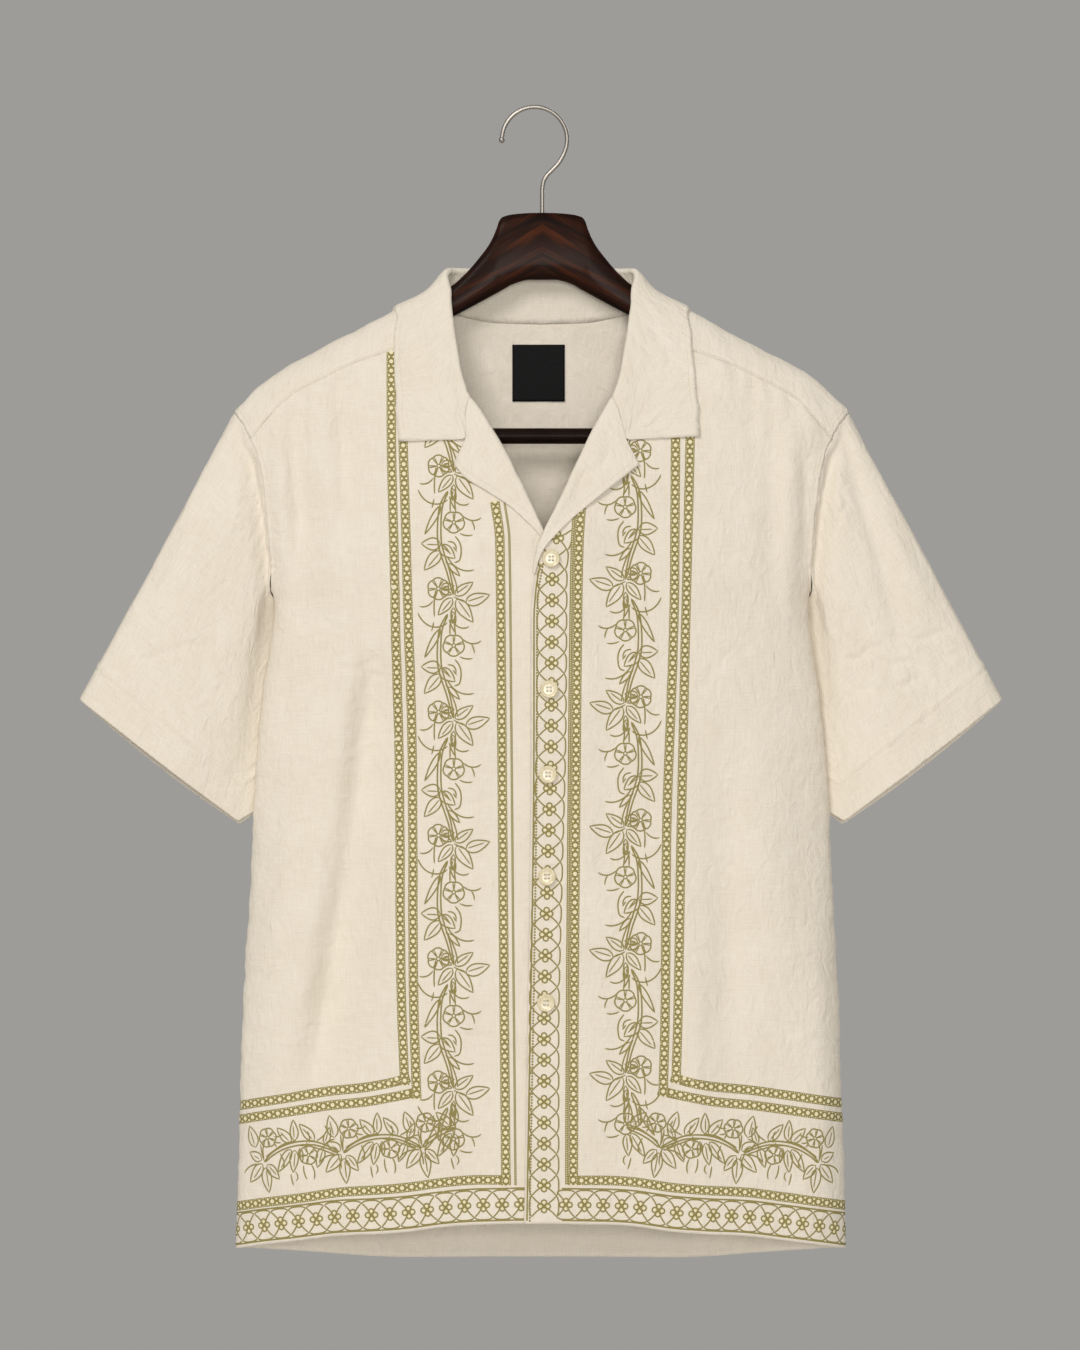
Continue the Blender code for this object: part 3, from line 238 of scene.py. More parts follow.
backCreases = (
    (-180, 452, -120, 440, 2.6, 1, 0), (-60, 520, 10, 538, 2.6, 0.9, 1),
    (40, 410, 110, 398, 2.6, 0.9, 0), (96, 610, 190, 628, 2.4, 1, 1),
    (-200, 700, -90, 690, 2.2, 1.1, 1), (-90, 690, 40, 700, 2.2, 1, 1),
    (40, 700, 200, 712, 2.2, 1.1, 1), (-150, 330, -96, 352, 2.8, 0.9, 0),
    (20, 300, 76, 322, 2.8, 0.8, 0), (-30, 790, 70, 776, 2.4, 0.9, 0),
    (130, 480, 176, 505, 2.8, 0.9, 0), (-120, 590, -170, 620, 2.8, 0.9, 0))
backFolds = (
    (-150, 250, -140, 560, 18, 3.4), (-96, 300, -112, 860, 22, -3),
    (-40, 260, -30, 700, 20, 3), (38, 320, 52, 880, 22, -3.2),
    (104, 255, 96, 620, 20, 3.4), (160, 300, 172, 800, 20, -3),
    (-176, 520, -160, 880, 20, 3), (126, 560, 138, 880, 20, 2.6))

# soft unevenness of worn-in linen: the size of each kind in x, y and z, and its heights
crinkles = {
    "broad": (46.0, 60.0, 70.0), "middle": (15.0, 30.0, 24.0), "wrinkle": (26.0, 40.0, 21.0),
    "fine": (7.0, 20.0, 8.0), "heights": (1.0, 0.6, 0.2, 0.15)}
# how far a seam's allowance raises the cloth, its stitches pull it in, and it puckers
seamLook = {"raise": 0.3, "pull": 0.55, "pullWidth": 0.9, "pucker": 0.3, "puckerReach": 4.0}
# points along each piece in its two stretches, closer and wider apart, and across it
gridPoints = {
    "front": (92, 200, 100), "back": (46, 150, 170), "yoke": (8, 122, 64), "collar": (30, 66)}
# the cloth's flat patterns in its UV map, in metres
pattern = {"middle": 0.5, "top": 0.9, "cuff": 0.1}

body, armholes, neck = smoothTable(bodyRows), smoothTable(armholeRows), smoothTable(neckRows)
collarEdge, yokeSeamTable, hems = (smoothTable(r) for r in (collarEdgeRows, yokeSeamRows, hemRows))
frontEdge = {-1: smoothTable(underEdgeRows), 1: smoothTable(topEdgeRows)}
lapelTable = {-1: smoothTable(rightLapelRows), 1: smoothTable(leftLapelRows)}
rungs = np.array(rungRows)
shoulderRows = body[0] <= tailor["shoulderTip"]


def besideLine(x0, drop0, x1, drop1, x, drop):
    # how far along the line, from 0 to 1, and how far across it
    length = math.hypot(x1 - x0, drop1 - drop0)
    ux, ud = (x1 - x0) / length, (drop1 - drop0) / length
    return ((x - x0) * ux + (drop - drop0) * ud) / length, (x - x0) * ud - (drop - drop0) * ux


def foldDepth(folds, x, drop):
    depth = np.zeros(np.broadcast(x, drop).shape)
    for x0, drop0, x1, drop1, width, amount, *slack in folds:
        along, across = besideLine(x0, drop0, x1, drop1, x, drop)
        across = across / np.where(across > 0, slack[0] if slack else 1.0, 1.0)
        ends = ease(along, -0.04, 0.34) * (1.0 - ease(along, 0.52, 1.04))
        depth += amount * ends * np.exp(-(across / width) ** 2)
    return depth


def creaseDepth(creases, x, drop):
    # narrow dips, or a fold's step whose two sides catch the light differently
    depth = np.zeros(np.broadcast(x, drop).shape)
    for x0, drop0, x1, drop1, width, amount, step in creases:
        along, across = besideLine(x0, drop0, x1, drop1, x, drop)
        across = across / width + 0.8 * np.sin(9.0 * along + x0)
        ends = ease(along, -0.12, 0.15) * (1.0 - ease(along, 0.85, 1.12))
        shape = np.exp(-across ** 2)
        depth += amount * ends * (shape * across * 1.6 if step else shape)
    return depth


def reachAt(angle, drop):
    return look(body, 1, drop) * np.sin(np.radians(angle))


def bodySurface(angle, drop):
    x, inward = reachAt(angle, drop), np.cos(np.radians(angle))
    front = -look(body, 2, drop) * inward + foldDepth(frontFolds, x, drop) * ease(inward, 0.0, 0.4)
    back = -look(body, 3, drop) * inward - foldDepth(backFolds, x, drop) * ease(-inward, 0.0, 0.4)
    return np.stack([x, np.where(inward > 0.0, front, back), -drop + 0.0 * x], axis=-1)


def outward(angle, drop):
    angle, drop = np.asarray(angle, float), np.asarray(drop, float)
    roundBody = bodySurface(angle + 0.2, drop) - bodySurface(angle - 0.2, drop)
    down = bodySurface(angle, drop + 0.2) - bodySurface(angle, drop - 0.2)
    return unit(np.cross(down, roundBody))


def frontAngle(x, drop):
    return np.degrees(np.arcsin(np.clip(x / look(body, 1, drop), -1.0, 1.0)))


def acrossBody(angle, drop):
    # distance round the body from the centre front
    turn = np.radians(angle)
    total = np.zeros(np.broadcast(angle, drop).shape)
    for k in range(24):
        t = turn * (k + 0.5) / 24
        depth = np.where(np.cos(t) > 0, look(body, 2, drop), look(body, 3, drop))
        total += np.hypot(look(body, 1, drop) * np.cos(t), depth * np.sin(t))
    return total * turn / 24


def ridge(reach):
    return np.interp(reach, body[1][shoulderRows], body[0][shoulderRows])


def neckSeam(place):
    return look(neck, 1, place), look(neck, 2, place)


def collarFold(place):
    return look(neck, 3, place), look(neck, 4, place)


def lapelFold(side, place):
    drop = look(lapelTable[side], 2, place)
    return frontAngle(look(lapelTable[side], 1, place), drop), drop


def placeAt(curve, drop, low, high):
    places = np.linspace(low, high, 400)
    return float(np.interp(drop, curve(places)[1], places))


def innerEdge(side, drop):
    if drop < neckSeam(1.0)[1] + 0.01:
        return neckSeam(placeAt(neckSeam, drop, tailor["yokeFront"], 1.0))[0]
    if drop < frontEdge[side][0][0]:
        angle = lapelFold(side, placeAt(lambda at: lapelFold(side, at), drop, 0.0, 1.0))[0]
        return frontAngle(reachAt(angle, drop) + tailor["foldSetback"], drop)
    return frontAngle(look(frontEdge[side], 1, drop), drop)


def sideSeam(drop):
    return mix(106.0, 97.0, ease(drop, tailor["underarm"], tailor["underarm"] + 60.0))


def yokeSeam(t):
    reach = mix(yokeSeamRows[0][0], yokeSeamRows[-1][0], t)
    drop = look(yokeSeamTable, 1, reach)
    return frontAngle(reach, drop), drop


def frontLift(side, angle, drop):
    # the left front stands off the right one where it lies over it
    if side < 0:
        return 0.0 * angle
    fromCrossing = (drop - tailor["crossingDrop"]) / tailor["crossingReach"]
    height = tailor["overlap"] + tailor["crossing"] * np.exp(-fromCrossing ** 2)
    return height * (1.0 - ease(reachAt(angle, drop), *tailor["buttonStand"]))


def tubeNormals(grid):
    # of a grid whose last column joins the first one
    across = np.roll(grid, -1, axis=1) - np.roll(grid, 1, axis=1)
    return unit(np.cross(np.gradient(grid, axis=0), across))


def crinkle(grid, normal, amount=1.0):
    # the unevenness depends on the place alone, so layers that lie on each other share it
    flat = grid.reshape(-1, 3)
    shift = np.empty(len(flat))
    kinds = (crinkles[kind] for kind in ("broad", "middle", "wrinkle", "fine"))
    (bx, by, bz), (mx, my, mz), (wx, wy, wz), (fx, fy, fz) = kinds
    high, medium, low, least = crinkles["heights"]
    for k, (x, y, z) in enumerate(flat):
        broad = noise.noise(Vector((x / bx, y / by, z / bz)))
        middle = noise.noise(Vector((x / mx + 9.0, y / my, z / mz)))
        bent = x + 9.0 * broad + 4.0 * middle
        sharp = noise.noise(Vector((bent / wx, y / wy, (z + 0.5 * bent) / wz)))
        wrinkle = max(0.0, 1.0 - abs(sharp) * 4.0)
        fine = noise.noise(Vector((x / fx, y / fy, z / fz + 4.0)))
        shift[k] = high * broad + medium * middle - low * wrinkle ** 2 + least * fine
    return grid + normal * (amount * shift).reshape(grid.shape[:2])[..., None]


def seamRelief(fromSeam, stitch, walked):
    # the seam allowance raises the cloth as far as its stitches, which pull it in and pucker it
    band = seamLook["raise"] * (1.0 - ease(fromSeam, stitch - 0.4, stitch + 1.2))
    pull = seamLook["pull"] * np.exp(-((fromSeam - stitch) / seamLook["pullWidth"]) ** 2)
    wave = np.sin(0.66 * walked + 1.7 * np.sin(0.29 * walked))
    reach = stitch + seamLook["puckerReach"]
    return band - pull + seamLook["pucker"] * wave * np.exp(-(fromSeam / reach) ** 2)


def gathers(fromSeam, walked, reach, amount):
    # small folds that run off a seam and die out
    waves = np.sin(walked / 2.9 + 2.0 * np.sin(walked / 13.0)) + 0.6 * np.sin(walked / 5.3 + 1.0)
    return amount * waves * ease(fromSeam, 0.5, 4.0) * np.exp(-(fromSeam / reach) ** 1.5)


def gridMesh(name, points, uv, faces, corners):
    mesh = bpy.data.meshes.new(name)
    mesh.from_pydata((points * mm).tolist(), [], faces.tolist())
    layer = mesh.uv_layers.new(name="UVMap")
    layer.data.foreach_set("uv", uv.reshape(-1, 2)[corners.ravel()].astype(np.float32).ravel())
    mesh.shade_smooth()
    return mesh


def clothPiece(name, grid, normal, uv, thickness):
    # a wall whose outside is the grid, and its outer skin by itself for what is sewn or printed on.
    # A piece that closes round an arm has one column more in its pattern than in its grid.
    rows, columns = grid.shape[:2]
    wide = uv.shape[1]
    j, i = np.meshgrid(np.arange(rows - 1), np.arange(wide - 1), indexing="ij")
    here, there = i, (i + 1) % columns
    outer = np.stack([j * columns + here, (j + 1) * columns + here,
                      (j + 1) * columns + there, j * columns + there], -1).reshape(-1, 4)
    corner = np.stack([j * wide + i, (j + 1) * wide + i, (j + 1) * wide + i + 1, j * wide + i + 1],
                      -1).reshape(-1, 4)
    flat = grid.reshape(-1, 3)
    middle = outer[len(outer) // 2 + columns // 3]
    facing = np.cross(flat[middle[1]] - flat[middle[0]], flat[middle[3]] - flat[middle[0]])
    if facing @ normal.reshape(-1, 3)[middle[0]] < 0:
        outer, corner = outer[:, ::-1], corner[:, ::-1]
    skin = addObject(name + "Skin", gridMesh(name + "Skin", flat, uv, outer, corner))
    shift = len(flat)
    inside = (grid - normal * thickness[..., None]).reshape(-1, 3)
    directed = {}
    for face, spots in zip(outer.tolist(), corner.tolist()):
        for k in range(4):
            directed[(face[k], face[(k + 1) % 4])] = (spots[k], spots[(k + 1) % 4])
    rims, rimSpots = [], []
    for (a, b), (p, q) in directed.items():
        if (b, a) not in directed:
            rims.append((b, a, a + shift, b + shift))
            rimSpots.append((q, p, p, q))
    faces = np.concatenate([outer, outer[:, ::-1] + shift, np.array(rims)])
    spots = np.concatenate([corner, corner[:, ::-1], np.array(rimSpots)])
    piece = addObject(name, gridMesh(name, np.concatenate([flat, inside]), uv, faces, spots))
    area = sum(p.area for p in skin.data.polygons)
    print(f"{name}: {len(faces)} faces, {area:.4f} m2")
    return {"piece": piece, "skin": skin, "uv": uv, "grid": grid, "area": area}


def fromEdge(grid, axis, end=0):
    # distance of every point from one edge of the grid
    lengths = np.linalg.norm(np.diff(grid, axis=axis), axis=-1)
    pad = [(0, 0), (0, 0)]
    pad[axis] = (1, 0)
    walked = np.pad(np.cumsum(lengths, axis=axis), pad)
    return walked if end == 0 else walked.take([-1], axis=axis) - walked


def hemmed(fromHem):
    # double cloth over the height of a turned-up hem
    return tailor["cloth"] * (1 + ease(-fromHem, -tailor["hemHeight"], 1 - tailor["hemHeight"]))


def hemGroove(fromHem):
    # where the stitches of a turned-up hem pull it in
    return 0.3 * np.exp(-((fromHem - tailor["hemHeight"]) / 1.2) ** 2)


def onBodyPattern(across, drop):
    return np.stack([pattern["middle"] + across * mm, pattern["top"] - drop * mm], -1)


def nearEdges(count, share):
    # even steps from 0 to 1, closer together near both ends
    even = np.linspace(0.0, 1.0, count)
    return even - share * np.sin(2 * np.pi * even)


def makeFront(side):
    pitRung, hemRung = rungs[-2:, 2]
    above, below, across = gridPoints["front"]
    s = [np.linspace(0, pitRung, above)[:-1], np.linspace(pitRung, hemRung, below)]
    s = np.concatenate(s)[:, None]
    t = nearEdges(across, 0.03)[None, :]
    innerDrop = np.interp(s, rungs[:, 2], rungs[:, 0])
    outerDrop = np.interp(s, rungs[:, 2], rungs[:, 1])
    inner = np.array([innerEdge(side, d) for d in innerDrop[:, 0]])[:, None]
    outer = look(armholes, 1, outerDrop)
    outer = np.where(outerDrop > tailor["underarm"], sideSeam(outerDrop), outer)
    toSeam, toHem = (1 - s / hemRung) ** 3, (s / hemRung) ** 3
    angle, drop = mix(inner, outer, t), mix(innerDrop, outerDrop, t)
    (seamAngle, seamDrop), first, last = yokeSeam(t), yokeSeam(0.0), yokeSeam(1.0)
    angle = angle + toSeam * (seamAngle - mix(first[0], last[0], t))
    drop = drop + toSeam * (seamDrop - mix(first[1], last[1], t))
    reach = np.abs(reachAt(angle, drop))
    drop = drop + toHem * (look(hems, 1, reach) - mix(rungs[-1, 0], rungs[-1, 1], t))
    fromHem = look(hems, 1, reach) - drop
    normal = outward(side * angle, drop)
    grid = bodySurface(side * angle, drop)
    fromArm, fromTop, x = fromEdge(grid, 1, 1), fromEdge(grid, 0), grid[..., 0]
    relief = seamRelief(fromArm, tailor["armStitch"], drop) * (1 - ease(drop, *tailor["armEnd"]))
    relief = relief + gathers(fromTop, x, reach=26.0, amount=0.65)
    relief = relief + gathers(fromArm, drop + 0.3 * x, reach=13.0, amount=0.3)
    relief = relief * (1 - ease(drop, *tailor["hemFade"])) - creaseDepth(frontCreases, x, drop)
    relief = relief - hemGroove(fromHem)
    grid = grid + normal * (frontLift(side, angle, drop) + relief)[..., None]
    uv = onBodyPattern(side * acrossBody(angle, drop), drop)
    return clothPiece(sided("front", side), crinkle(grid, normal), normal, uv, hemmed(fromHem))


def makeBack():
    corner, pit = tailor["yokeCorner"], tailor["underarm"]
    above, below, across = gridPoints["back"]
    outerDrop = [np.linspace(corner, pit, above)[:-1], np.linspace(pit, rungs[-1, 1], below)]
    outerDrop = np.concatenate(outerDrop)[:, None]
    t = 2 * nearEdges(across, 0.03)[None, :] - 1
    edge = np.where(outerDrop > pit, sideSeam(outerDrop), look(armholes, 2, outerDrop))
    angle = 180.0 + t * (180.0 - edge)
    reach = np.abs(reachAt(angle, outerDrop))
    down = np.linspace(0.0, 1.0, len(outerDrop))[:, None] ** 3
    drop = outerDrop + down * (look(hems, 2, reach) - rungs[-1, 1])
    fromHem = look(hems, 2, reach) - drop
    normal = outward(angle, drop)
    uv = onBodyPattern(acrossBody(angle, drop) - acrossBody(180.0 + 0 * angle, drop), drop)
    grid = bodySurface(angle, drop)
    x, fromArm = grid[..., 0], np.minimum(fromEdge(grid, 1), fromEdge(grid, 1, 1))
    relief = seamRelief(fromArm, tailor["armStitch"], drop) * (1 - ease(drop, *tailor["armEnd"]))
    relief = relief + gathers(fromEdge(grid, 0), x, reach=22.0, amount=0.3)
    relief = relief - creaseDepth(backCreases, x, drop)
    grid = grid + normal * (relief - hemGroove(fromHem))[..., None]
    return clothPiece("backPanel", crinkle(grid, normal), normal, uv, hemmed(fromHem))


def toShoulder(angle, drop):
    # x, and the root of the distance below the shoulder's ridge: negative in front of it
    x = reachAt(angle, drop)
    root = np.sqrt(np.maximum(0.0, drop - ridge(np.abs(x))))
    return x, np.where(angle > 90.0, root, -root)


# the yoke's neck and arm edges, in steps from the front seam (0) over the ridge (4) to the back's
# corner (8), and from there along the back seam to its middle (17)
yokePlaces = (0.79, 0.71, 0.62, 0.545, 0.50, 0.48, 0.45, 0.415, 0.38)
yokeArmDrops = (251.6, 242.0, 235.5, 232.0, 231.0, 232.0, 235.5, 242.0, 251.6)


def makeYoke():
    first, rest, across = gridPoints["yoke"]
    n = np.concatenate([np.linspace(0.0, 0.4, first)[:-1], np.linspace(0.4, 17.0, rest)])[:, None]
    t = nearEdges(across, 0.05)[None, :]
    places = list(yokePlaces) + [yokePlaces[-1] * (1 - k / 9) for k in range(1, 10)]
    place = np.interp(n, range(18), places)
    armDrop = np.interp(n, range(9), yokeArmDrops)
    corner = look(armholes, 2, tailor["yokeCorner"])
    armAngle = np.where(n > 4, look(armholes, 2, armDrop), look(armholes, 1, armDrop))
    armAngle = np.where(n > 8, mix(corner, 180.0, (n - 8) / 9), armAngle)
    (x0, tau0), (x1, tau1) = toShoulder(*neckSeam(place)), toShoulder(armAngle, armDrop)
    x, tau = mix(x0, x1, t), mix(tau0, tau1, t)
    near = np.maximum(0.0, 1.0 - n / 4) ** 1.5
    (seamX, seamTau) = toShoulder(*yokeSeam(t))
    ends = [toShoulder(*yokeSeam(k)) for k in (0.0, 1.0)]
    x = x + near * (seamX - mix(ends[0][0], ends[1][0], t))
    tau = tau + near * (seamTau - mix(ends[0][1], ends[1][1], t))
    x, tau = np.concatenate([-x[:-1], x[::-1]]), np.concatenate([tau[:-1], tau[::-1]])
    drop = ridge(np.abs(x)) + tau * tau
    angle = np.where(tau > 0.0, np.copysign(180.0, x) - frontAngle(x, drop), frontAngle(x, drop))
    normal = outward(angle, drop)
    grid = bodySurface(angle, drop)
    fromRidge = np.hypot(grid[..., 1] - 2.0, tau * tau) * np.sign(tau)
    uv = np.stack([0.5 + x * mm, 0.5 + fromRidge * mm], -1)
    fromFront = np.minimum(fromEdge(grid, 0), fromEdge(grid, 0, 1))
    atBack = np.broadcast_to(np.concatenate([n, n[-2::-1]]) > 8, x.shape)
    stitch = np.where(atBack, tailor["yokeStitch"], tailor["armStitch"])
    relief = seamRelief(fromEdge(grid, 1, 1), stitch, np.where(atBack, x, drop * 2))
    relief = relief + seamRelief(fromFront, tailor["yokeStitch"], x)
    relief = relief + gathers(fromFront, x, reach=14.0, amount=0.3)
    grid = crinkle(grid + normal * relief[..., None], normal)
    return clothPiece("yokePanel", grid, normal, uv, np.full(x.shape, tailor["cloth"]))


sleeve = {
    "cuffOuter": (350.4, 448.4), "cuffLowest": (230.5, 541.0), "innerDrop": 531.0, "tuck": 4.0,
    "backset": 10.5, "depth": 14.0, "valley": (8.0, 4.5, 15.0, 6.0), "lengths": (245.0, 155.0),
    "pitClearance": 3.0, "backLower": 6.2, "rows": 124, "around": 90}
# folds and creases of the sleeves, as those of the fronts
sleeveFolds = (
    (-221, 262, -242, 330, 8, -1.8), (-262, 300, -296, 420, 14, -2.2),
    (-236, 350, -262, 460, 10, 2.2), (-300, 400, -276, 480, 10, 1.6),
    (-226, 420, -240, 500, 8, -1.6), (224, 248, 227, 330, 6, -2.4),
    (227, 240, 256, 345, 6.5, 3.4), (250, 310, 274, 415, 8, 3.4),
    (262, 300, 300, 400, 12, -2), (236, 380, 246, 470, 9, 1.8))
sleeveCreases = (
    (-326, 425.5, -289, 413.7, 2.4, 1, 0), (-289, 413.7, -250, 405, 2.4, 1, 0),
    (-279, 378, -257, 344, 2.6, 0.8, 0), (-236, 349, -248, 380, 2.6, 0.8, 0),
    (-262, 448, -240, 440, 2.6, 0.9, 0), (-306, 380, -282, 396, 2.6, 0.7, 0),
    (231, 282, 228, 309, 2.6, 1.1, 0), (228, 309, 218, 320, 2.6, 1.1, 0),
    (262, 404, 320, 398, 3, 1.5, 0), (243, 416, 289, 425, 3.6, 1.7, 0),
    (231, 420, 257, 407, 2.6, 1.4, 0), (263, 437, 296, 434, 3.2, 1.2, 0),
    (286, 412, 322, 417, 2.8, 1, 0), (224, 434, 262, 446, 3, 0.9, 0))


def armholeLoop(share, facing):
    # angle and drop round the armhole, in even steps along its seam in front and behind
    tipDrop, pitDrop = tailor["shoulderTip"], tailor["underarm"]
    drops = [np.linspace(tipDrop, tipDrop + 3.0, 60), np.linspace(tipDrop + 3.0, pitDrop, 240)[1:]]
    drops = np.concatenate(drops)
    angle, drop = np.zeros(len(share)), np.zeros(len(share))
    for column, sign in ((1, -1.0), (2, 1.0)):
        seam = bodySurface(look(armholes, column, drops), drops)
        walked = fromEdge(seam[:, None], 0)[:, 0]
        mine = facing == sign
        drop[mine] = np.interp(share[mine], walked / walked[-1], drops)
        angle[mine] = look(armholes, column, drop[mine])
    return angle, drop


def sleeveShape(share, facing, angle, drop):
    # loops from the armhole down to the cuff, each flat oval from its outer edge to its inner one
    seam, tipDrop, pitDrop = bodySurface(angle, drop), tailor["shoulderTip"], tailor["underarm"]
    tip, pit = bodySurface(90.0, tipDrop), bodySurface(106.0, pitDrop)
    down = nearEdges(sleeve["rows"], 0.04)[:, None]
    innerDrop = mix(pitDrop, sleeve["innerDrop"], down)
    innerReach = mix(pit[0], look(body, 1, innerDrop) - sleeve["tuck"], ease(down, 0.0, 0.15))
    reach = mix(mix(tip[0], sleeve["cuffOuter"][0], down), innerReach, share)
    level = mix(mix(tipDrop, sleeve["cuffOuter"][1], down), innerDrop, share)
    atArm, atCuff = (1 - down) ** 2, down ** 3
    reach = reach + atArm * (seam[:, 0] - mix(tip[0], pit[0], share))
    level = level + atArm * (-seam[:, 2] - mix(tipDrop, pitDrop, share))
    (x0, d0), (x1, d1) = sleeve["cuffOuter"], sleeve["cuffLowest"]
    x2, d2 = look(body, 1, sleeve["innerDrop"]) - sleeve["tuck"], sleeve["innerDrop"]
    cuff = [(0.93 * k / 4, mix(x0, x1, k / 4), mix(d0, d1, k / 4)) for k in range(5)]
    cuff = np.array(cuff + [(1.0, x2, d2)]).T
    reach = reach + atCuff * (np.interp(share, cuff[0], cuff[1]) - mix(x0, x2, share))
    level = level + atCuff * (np.interp(share, cuff[0], cuff[2]) - mix(d0, d2, share))
    level = level + atCuff * (facing > 0) * sleeve["backLower"] * np.sin(np.pi * share) ** 0.5
    # depth: the loops, with a valley across the front below the armhole and room at the underarm
    turn = np.arccos(np.clip(1.0 - 2.0 * share, -1.0, 1.0))
    section = sleeve["backset"] * ease(share, 0.55, 0.98)
    section = section + facing * sleeve["depth"] * np.sin(turn) ** 0.8
    y = mix(seam[:, 1], section, ease(down, 0.0, 0.32))
    place, near, far, depth = sleeve["valley"]
    fromPlace = down * mix(*sleeve["lengths"], share) - place
    dip = depth * np.exp(-(fromPlace / np.where(fromPlace < 0, near, far)) ** 2)
    y = y + np.where(facing < 0, dip * ease(share, 0.02, 0.25) * (1 - ease(share, 0.8, 0.97)), 0.0)
    clear = sleeve["pitClearance"] * ease(share, 0.6, 0.85)
    clear = clear * ease(down, 0.0, 0.05) * (1 - ease(down, 0.3, 0.8))
    return np.stack([reach, y, -level], -1) + outward(angle, drop) * clear[..., None]


def sleeveRelief(x, z, share, facing, fromHead, fromCuff, around):
    cuffHeight = tailor["cuffHeight"]
    # folds and creases, weaker behind, that end before the sleeve's edges, its head and its cuff
    relief = -(foldDepth(sleeveFolds, x, -z) + creaseDepth(sleeveCreases, x, -z))
    relief = relief * np.where(facing < 0, 1.0, -0.6)
    relief = relief * ease(share, 0.03, 0.12) * (1 - ease(share, 0.86, 0.95))
    relief = relief * ease(fromHead, 4.0, 26.0) * ease(fromCuff, 0.6 * cuffHeight, cuffHeight)
    relief = relief + gathers(fromHead, around, reach=24.0, amount=0.5)
    # the cuff's double cloth, and the ripples and groove at its stitches
    relief = relief + 0.5 * (1 - ease(fromCuff, cuffHeight - 0.8, cuffHeight + 0.8))
    ripple = 0.5 * np.sin(0.33 * around + 1.3 * np.sin(0.11 * around))
    above = np.exp(-((fromCuff - cuffHeight - 3.0) / 3.5) ** 2)
    relief = relief + above * (0.9 + ripple) - 0.6 * np.exp(-(fromCuff - cuffHeight) ** 2)
    return relief + 0.25 * ripple * (1 - ease(fromCuff, 0.0, cuffHeight))


def makeSleeve(side):
    # share runs over each face of the sleeve, from its outer edge (0) to its inner one (1)
    half = np.linspace(0.0, 1.0, sleeve["around"])
    share = np.concatenate([half[::-1], half[1:-1]])
    facing = np.where(np.arange(len(share)) < sleeve["around"], -1.0, 1.0)
    grid = sleeveShape(share, facing, *armholeLoop(share, facing))
    normal = -tubeNormals(grid)
    middle = grid.mean(axis=1, keepdims=True)
    if np.mean(np.sum((grid - middle) * normal, -1)) < 0:
        normal = -normal
    walked = fromEdge(np.concatenate([grid, grid[:, :1]], axis=1), 1).mean(axis=0)
    walked -= walked[sleeve["around"] - 1]
    up = fromEdge(grid, 0, 1)
    up = np.concatenate([up, up[:, :1]], axis=1)
    uv = [pattern["middle"] + np.broadcast_to(walked, up.shape) * mm, pattern["cuff"] + up * mm]
    uv = np.stack(uv, -1)
    x, fromCuff, fromHead = side * grid[..., 0], up[:, :-1], fromEdge(grid, 0)
    around = np.broadcast_to(walked[:-1], x.shape)
    relief = sleeveRelief(x, grid[..., 2], share, facing, fromHead, fromCuff, around)
    grid = grid + normal * relief[..., None]
    if side < 0:
        grid, normal = grid * (-1, 1, 1), normal * (-1, 1, 1)
        uv = uv * (-1, 1) + (1, 0)
    thick = tailor["cloth"] * (2 - ease(fromCuff, tailor["cuffHeight"], tailor["cuffHeight"] + 1))
    return clothPiece(sided("sleeve", side), crinkle(grid, normal, 0.8), normal, uv, thick)


def turnedLine(side, seam, fold, along, path, roll, lift):
    # from the seam over the fold to the outer edge: points in the middle of the cloth, and outward
    atFold, direction = bodySurface(side * fold[0], fold[1]), outward(side * fold[0], fold[1])
    toEdge = path(tailor["notchShare"])
    inwards = unit(np.cross(direction, along))
    if inwards @ (bodySurface(side * toEdge[0], toEdge[1]) - atFold) > 0:
        inwards = -inwards
    start = lift - 0.5 * tailor["faced"]
    points, normals = [], []
    if seam is not None:
        t = np.linspace(0.0, 1.0, 8, endpoint=False)[:, None]
        angle, drop = side * mix(seam[0], fold[0], t), mix(seam[1], fold[1], t)
        out = outward(angle[:, 0], drop[:, 0])
        points.append(bodySurface(angle[:, 0], drop[:, 0]) + out * start - inwards * roll * t)
        normals.append(-out)
    turn = np.linspace(0.0, math.pi, 11)[:, None]
    radial = inwards * np.sin(turn) - direction * np.cos(turn)
    points.append(atFold - inwards * roll + direction * (start + roll) + radial * roll)
    normals.append(radial)
    t = np.linspace(0.0, 1.0, 22)[1:, None]
    spots = np.array([path(k) for k in t[:, 0]])
    rise = mix(start + 2 * roll, lift + tailor["layer"] + 0.5 * tailor["faced"], ease(t, 0.0, 0.7))
    rise = rise + tailor["flare"] * t * t
    angle, drop = side * spots[:, 0], spots[:, 1]
    out = outward(angle, drop)
    points.append(bodySurface(angle, drop) + out * rise - inwards * roll * (1 - t) ** 2)
    normals.append(out)
    return np.concatenate(points), np.concatenate(normals)


def edgePath(side, fold, edge, bend):
    # angle and drop from the fold to the edge, straight or bent by way of the notch
    spot, share = (frontAngle(*notch[side]), notch[side][1]), tailor["notchShare"]
    fold, spot, edge = np.array(fold), np.array(spot), np.array(edge)

    def path(t):
        if t <= share:
            bent = mix(fold, spot, t / share)
        else:
            bent = mix(spot, edge, (t - share) / (1 - share))
        return mix(mix(fold, edge, t), bent, bend)
    return path


def alongFold(side, before, after):
    return unit(bodySurface(side * after[0], after[1]) - bodySurface(side * before[0], before[1]))


